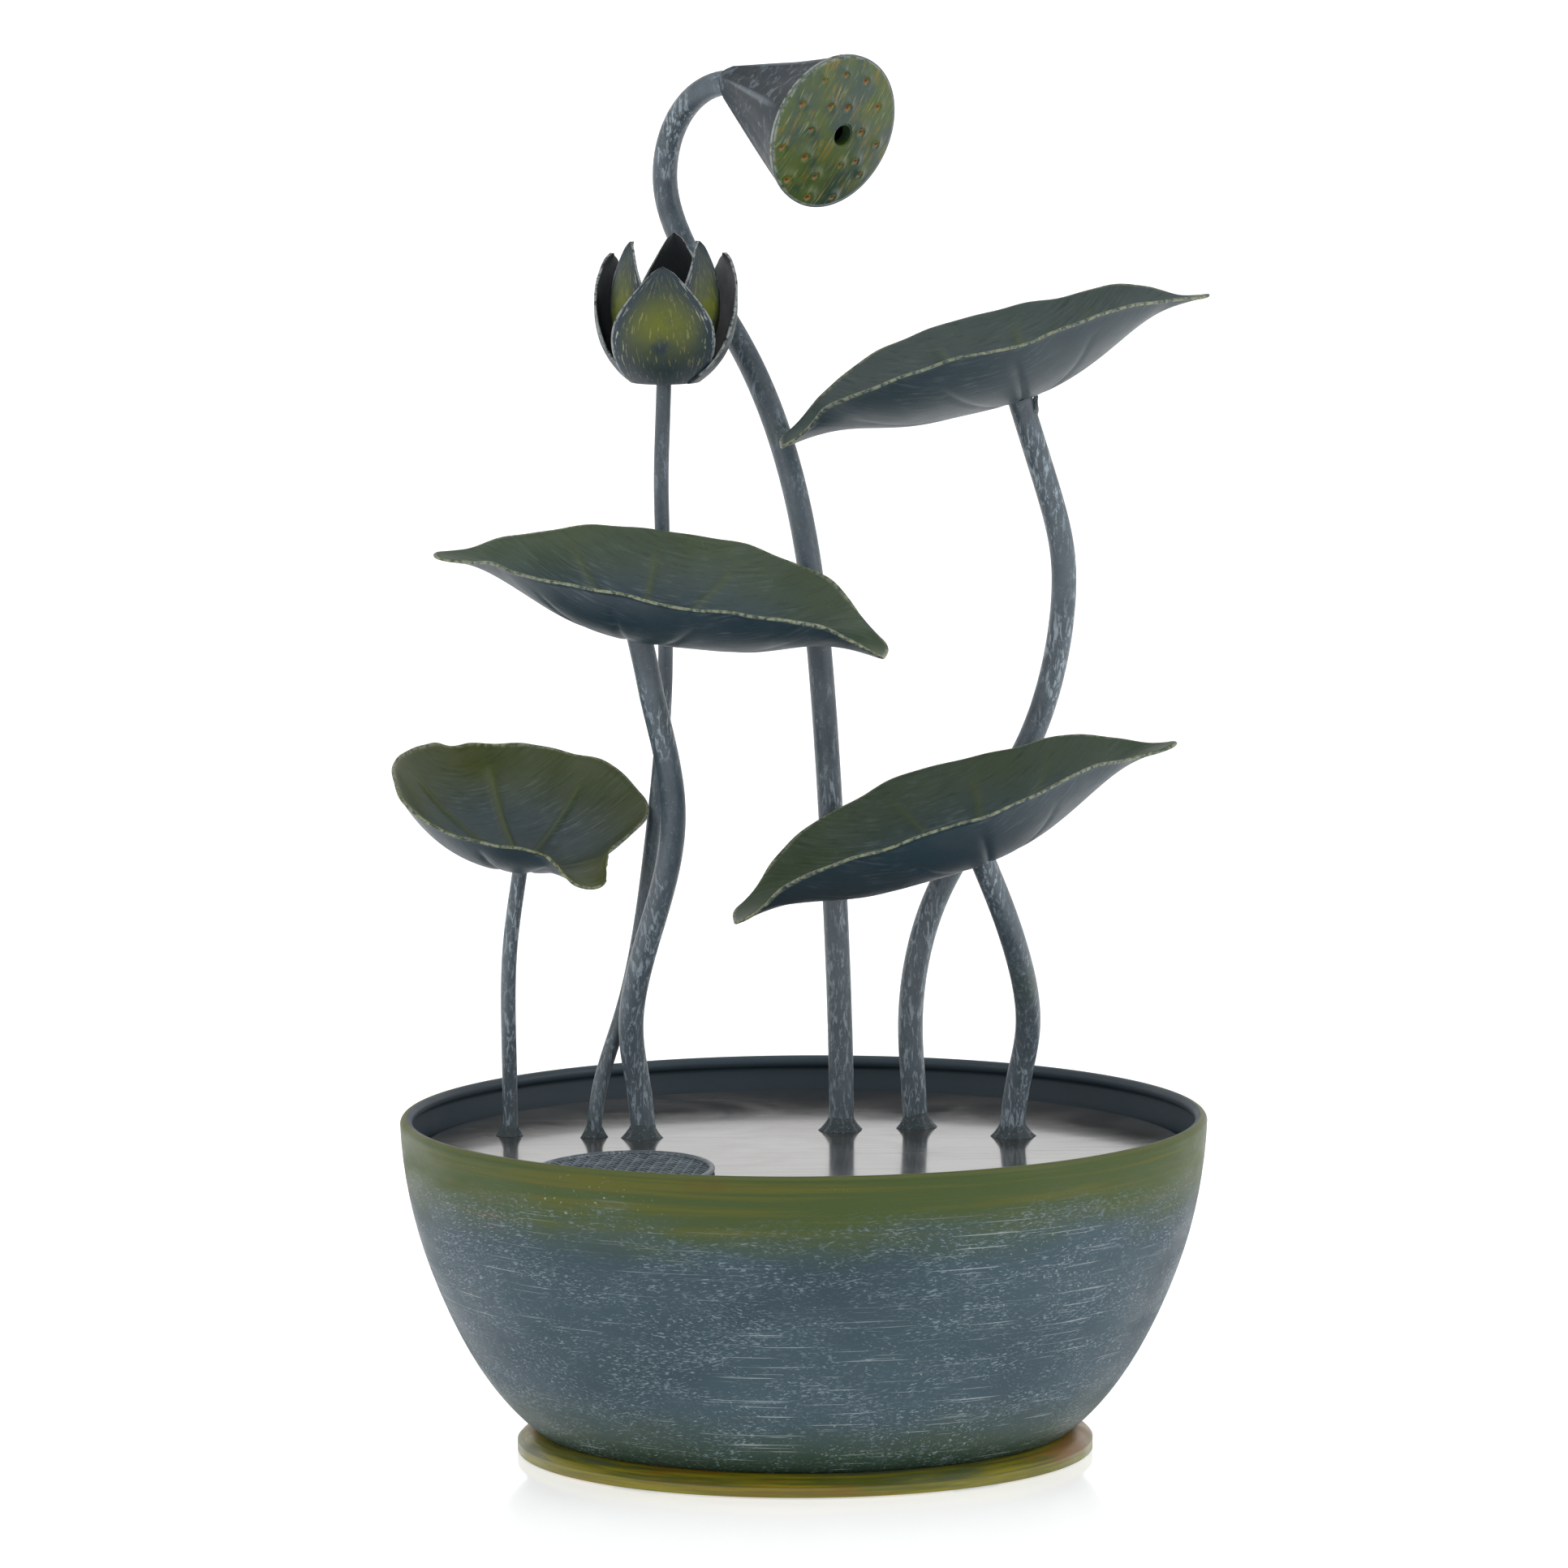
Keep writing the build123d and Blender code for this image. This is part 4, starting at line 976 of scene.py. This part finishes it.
def weld_pieces(material):
    """Weld beads round the feet of the stems: lumpy skirts that run out onto the deck."""
    deck_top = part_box("deck")[1][2]
    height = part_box("foot_welds")[1][2] - deck_top
    turns = full_turn(BEAD_COLUMNS)
    points, faces = [], []
    for index, name in enumerate(STEMS):
        stem_points = node_mesh(name)[0]
        foot = stem_points[stem_points[:, 2] < deck_top + 0.2 * MM]
        middle = (foot.min(axis=0) + foot.max(axis=0)) / 2
        stem_r = (foot[:, 0].max() - foot[:, 0].min()) / 2
        flare = 0.62 * stem_r + 0.4 * MM
        phase = np.random.default_rng(100 + index).uniform(0, 2 * math.pi, 6)
        slow = sum(np.sin(k * turns + phase[k]) / k for k in (1, 2, 3))
        quick = np.sin(5 * turns + phase[4]) + 0.7 * np.sin(9 * turns + phase[5])
        start = len(points)
        for t in np.linspace(0, 1, BEAD_ROWS):
            skirt = (1 - t) ** 2.1
            radius = stem_r - 0.2 * MM + flare * skirt * (1 + 0.24 * slow + 0.14 * quick)
            radius += 0.12 * flare * math.sin(math.pi * min(1, t * 1.25)) * (0.6 * slow + 0.6 * quick)
            level = deck_top + (height + 0.8 * MM) * t * (1 + 0.10 * slow * t)
            points.extend(np.stack([middle[0] + radius * np.cos(turns), middle[1] + radius * np.sin(turns),
                                    level + 0 * turns], 1))
        points.append(np.array([middle[0], middle[1], deck_top]))
        faces += grid_faces(BEAD_ROWS, BEAD_COLUMNS, wrap=True, offset=start)
        hub = len(points) - 1
        faces += [(start + (c + 1) % BEAD_COLUMNS, start + c, hub) for c in range(BEAD_COLUMNS)]
    obj = piece("foot_weld_beads", points, faces, "deck_body", material)
    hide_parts("foot_welds")


def weld_run(material):
    """A lumpy run of weld metal down the side of the tallest leaf stem, just under the leaf."""
    points = node_mesh("upper_leaf_stem")[0]
    ring = points[points[:, 2] > points[:, 2].max() - 6 * MM]
    middle = (ring.min(axis=0) + ring.max(axis=0)) / 2
    turns = full_turn(RUN_COLUMNS)
    skin = []
    for t in np.linspace(0.001, math.pi - 0.001, RUN_ROWS):
        lump = 1 + 0.22 * math.sin(5 * t + 0.6) + 0.12 * np.sin(3 * turns + 4 * t)
        radius = RUN_WIDTH / 2 * math.sin(t) ** 0.8 * lump
        skin.append(np.stack([
            middle[0] + RUN_OFFSET + radius * np.cos(turns) + 0.8 * MM * math.cos(t),
            middle[1] - 0.6 * MM + radius * np.sin(turns),
            middle[2] - 2.2 * MM + RUN_LENGTH / 2 * math.cos(t) + 0 * turns], 1))
    faces = grid_faces(RUN_ROWS, RUN_COLUMNS, wrap=True)
    close_poles(piece("leaf_weld_run", np.concatenate(skin), faces, "deck_body", material))


# ---------------------------------------------------------------- strainer
WIRE = 0.26 * MM
WIRE_SIDES = 6
PITCH = 2.5 * MM
WEAVE_TURNS = (math.radians(38), math.radians(-52))
RING_HALF_WIDTH = 1.0 * MM


def woven_mesh(material):
    """Woven wire in the strainer: two diagonal sets of wires that pass over and under each other."""
    ring_points = node_mesh("strainer_ring")[0]
    mesh_low, mesh_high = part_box("strainer_mesh")
    centre = node_centre("strainer_ring")
    flat = ring_points[:, :2] - centre[:2]
    axes = np.linalg.eigh(np.cov(flat.T))[1]
    long_dir = axes[:, 1]
    short_dir = axes[:, 0]
    long_half = np.abs(flat @ long_dir).max() - RING_HALF_WIDTH
    short_half = np.abs(flat @ short_dir).max() - RING_HALF_WIDTH
    level = (mesh_low[2] + mesh_high[2]) / 2 + 0.25 * MM
    points, faces = [], []
    for family, turn in enumerate(WEAVE_TURNS):
        run = np.array([math.cos(turn), math.sin(turn)])
        cross = np.array([-run[1], run[0]])
        span = int(max(long_half, short_half) / PITCH) + 2
        for k in range(-span, span + 1):
            base = cross * (k * PITCH)
            a = (run @ long_dir / long_half) ** 2 + (run @ short_dir / short_half) ** 2
            b = 2 * ((base @ long_dir) * (run @ long_dir) / long_half ** 2
                     + (base @ short_dir) * (run @ short_dir) / short_half ** 2)
            c = (base @ long_dir / long_half) ** 2 + (base @ short_dir / short_half) ** 2 - 1
            root = b * b - 4 * a * c
            if root <= 0:
                continue
            low_t, high_t = (-b - math.sqrt(root)) / (2 * a), (-b + math.sqrt(root)) / (2 * a)
            if high_t - low_t < 2 * PITCH:
                continue
            count = max(8, int((high_t - low_t) / (PITCH / 6)))
            start = len(points)
            for t in np.linspace(low_t, high_t, count):
                sign = 1 if (k + family) % 2 else -1
                z = level + sign * WIRE * 0.8 * math.cos(math.pi * t / PITCH)
                where = centre[:2] + base + run * t
                for swing in full_turn(WIRE_SIDES):
                    offset = cross * (WIRE * math.cos(swing))
                    points.append((where[0] + offset[0], where[1] + offset[1], z + WIRE * math.sin(swing)))
            faces += grid_faces(count, WIRE_SIDES, wrap=True, offset=start)
            faces.append(tuple(start + i for i in reversed(range(WIRE_SIDES))))
            faces.append(tuple(start + (count - 1) * WIRE_SIDES + i for i in range(WIRE_SIDES)))
    obj = piece("strainer_weave", points, faces, "strainer", material)
    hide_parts("strainer_mesh")


# ---------------------------------------------------------------- build
FIRST_LEAF_SEED = 20
# Each leaf: its inside colours from dark to light, its underside, the colour of its tint and how much of it
LEAVES = (
    ("upper_leaf", srgb(54, 70, 78), srgb(72, 86, 94), srgb(40, 56, 62), srgb(66, 80, 44), 0.35),
    ("middle_leaf", srgb(44, 62, 74), srgb(62, 80, 90), srgb(28, 46, 56), srgb(76, 90, 36), 0.62),
    ("lower_leaf", srgb(46, 64, 72), srgb(66, 82, 88), srgb(34, 54, 64), srgb(70, 84, 36), 0.62),
    ("small_leaf", srgb(54, 70, 74), srgb(78, 92, 94), srgb(38, 56, 64), srgb(74, 84, 20), 0.85),
)
# Veins: turn in degrees from the leaf's downhill axis, strength
LONG_VEINS = ((20, 0.3), (58, 0.5), (95, 0.6), (135, 0.5), (180, 0.4), (222, 0.5), (262, 0.6), (300, 0.5),
              (338, 0.3))
SMALL_VEINS = ((75, 0.9), (118, 1.0), (158, 1.0), (205, 1.0), (250, 0.9), (300, 0.7), (35, 0.6))


def build_object():
    bowl_piece()
    for seed, (name, *colours) in enumerate(LEAVES, FIRST_LEAF_SEED):
        veins, smoothing = (SMALL_VEINS, 16) if name == "small_leaf" else (LONG_VEINS, 4)
        leaf_piece(name, leaf_paint(name + "_paint", *colours), veins, smoothing, seed)
    petals = petal_paint()
    flower_piece("outer_petals", "flower_outer", OUTER_PETALS, petals)
    flower_piece("inner_petals", "flower_inner", INNER_PETALS, petals)
    pod_pieces()
    bead_paint = weld_paint()
    weld_pieces(bead_paint)
    weld_run(bead_paint)
    woven_mesh(wire_paint())


def paint_cad_nodes():
    """Materials for the CAD nodes that stay visible."""
    finishes = {
        "base_plate": plate_paint(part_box("base_plate")[1][2]),
        "deck": deck_paint(), "deck_ledges": bowl_inside_paint(), "pod_nozzle": pod_face_paint(),
        "power_cord": rubber("cord_sheath", (22, 22, 23)), "hose": clear_vinyl(),
        "dc_plug": plastic("plug_moulding", (24, 24, 25), 0.3, 0.42),
        "pump_back_cover": plastic("potting_resin", (44, 44, 46), 0.5, 0.7),
        "stator_core": laminated_steel(), "coil": winding(), "rotor_shaft": ground_steel(),
        "rotor_magnet": plastic("ferrite", (46, 46, 48), 0.4, 0.55),
        "impeller": plastic("impeller_plastic", (214, 214, 208), 0.25, 0.4),
    }
    finishes.update(dict.fromkeys((*STEMS, "spigot", "strainer_ring"), stem_paint()))
    black = rubber("black_rubber", (26, 26, 27))
    soft_parts = ("foot_pads", "cord_grommet", "suction_cups", "cover_o_ring", "shaft_bushes")
    finishes.update(dict.fromkeys(soft_parts, black))
    pump = plastic("pump_plastic", (30, 31, 33), 0.42, 0.6)
    finishes.update(dict.fromkeys(("pump_housing", "volute_cover", "intake_grille", "flow_slider"), pump))
    for name, material in finishes.items():
        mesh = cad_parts[name].data
        mesh.materials.clear()
        mesh.materials.append(material)


# ---------------------------------------------------------------- stage
WALL_LIGHT = 1.0
CEILING_LIGHT = 0.50
TABLE_GLOW = 0.52
TABLE_HALF = 8.0
# Each light: name, place, power in watts, width
LIGHTS = (
    ("left_softbox", (-1.6, -0.9, 1.1), 6, 1.2),
    ("right_softbox", (1.7, -0.5, 1.0), 9, 1.2),
    ("top_softbox", (0.0, -0.2, 2.0), 5, 1.4),
)
AIM = Vector((0, 0, 0.2))
CAMERA_PLACE = (-5.54 * MM, -4.0, 721.9 * MM)
CAMERA_DROP = 0.127775
CAMERA_ROLL = math.radians(0.3)
CAMERA_LENS = 299.9


def make_stage():
    """White glossy table, soft white surroundings, two large side lights and a long-lens camera."""
    g = Graph("white_table")
    haze = g.spots(3, 2)
    table_paint = g.finish(g.mix(haze, (0.93, 0.93, 0.93, 1), (0.96, 0.96, 0.96, 1)), 0.09, 0.0, 0.6)
    g.shader.inputs["Emission Color"].default_value = (1, 1, 1, 1)
    g.shader.inputs["Emission Strength"].default_value = TABLE_GLOW
    mesh = bpy.data.meshes.new("table")
    corners = [(x * TABLE_HALF, y * TABLE_HALF, 0) for x, y in ((-1, -1), (1, -1), (1, 1), (-1, 1))]
    mesh.from_pydata(corners, [], [(0, 1, 2, 3)])
    floor = bpy.data.objects.new("table", mesh)
    bpy.context.scene.collection.objects.link(floor)
    mesh.materials.append(table_paint)

    world = bpy.data.worlds.new("studio")
    bpy.context.scene.world = world
    world.use_nodes = True
    nodes, links = world.node_tree.nodes, world.node_tree.links
    direction = nodes.new("ShaderNodeTexCoord")
    split = nodes.new("ShaderNodeSeparateXYZ")
    fade = nodes.new("ShaderNodeMapRange")
    fade.interpolation_type = "SMOOTHSTEP"
    for index, value in enumerate((0.05, 0.75, WALL_LIGHT, CEILING_LIGHT)):
        fade.inputs[index + 1].default_value = value
    links.new(direction.outputs["Generated"], split.inputs[0])
    links.new(split.outputs[2], fade.inputs[0])
    nodes["Background"].inputs[0].default_value = (1, 1, 1, 1)
    links.new(fade.outputs[0], nodes["Background"].inputs[1])

    for name, place, power, width in LIGHTS:
        light = bpy.data.lights.new(name, "AREA")
        light.energy = power
        light.size = width
        lamp = bpy.data.objects.new(name, light)
        lamp.location = place
        lamp.rotation_euler = (AIM - Vector(place)).to_track_quat("-Z", "Y").to_euler()
        bpy.context.scene.collection.objects.link(lamp)

    bpy.context.scene.view_settings.view_transform = "Standard"
    camera_data = bpy.data.cameras.new("camera")
    camera_data.lens = CAMERA_LENS
    camera_data.sensor_width = 36.0
    camera_data.clip_end = 60
    camera = bpy.data.objects.new("camera", camera_data)
    camera.location = CAMERA_PLACE
    tilt = Matrix.Rotation(math.pi / 2 - CAMERA_DROP, 3, "X")
    camera.rotation_euler = (tilt @ Matrix.Rotation(-CAMERA_ROLL, 3, "Z")).to_euler()
    bpy.context.scene.collection.objects.link(camera)
    bpy.context.scene.camera = camera


build_object()
paint_cad_nodes()
make_stage()
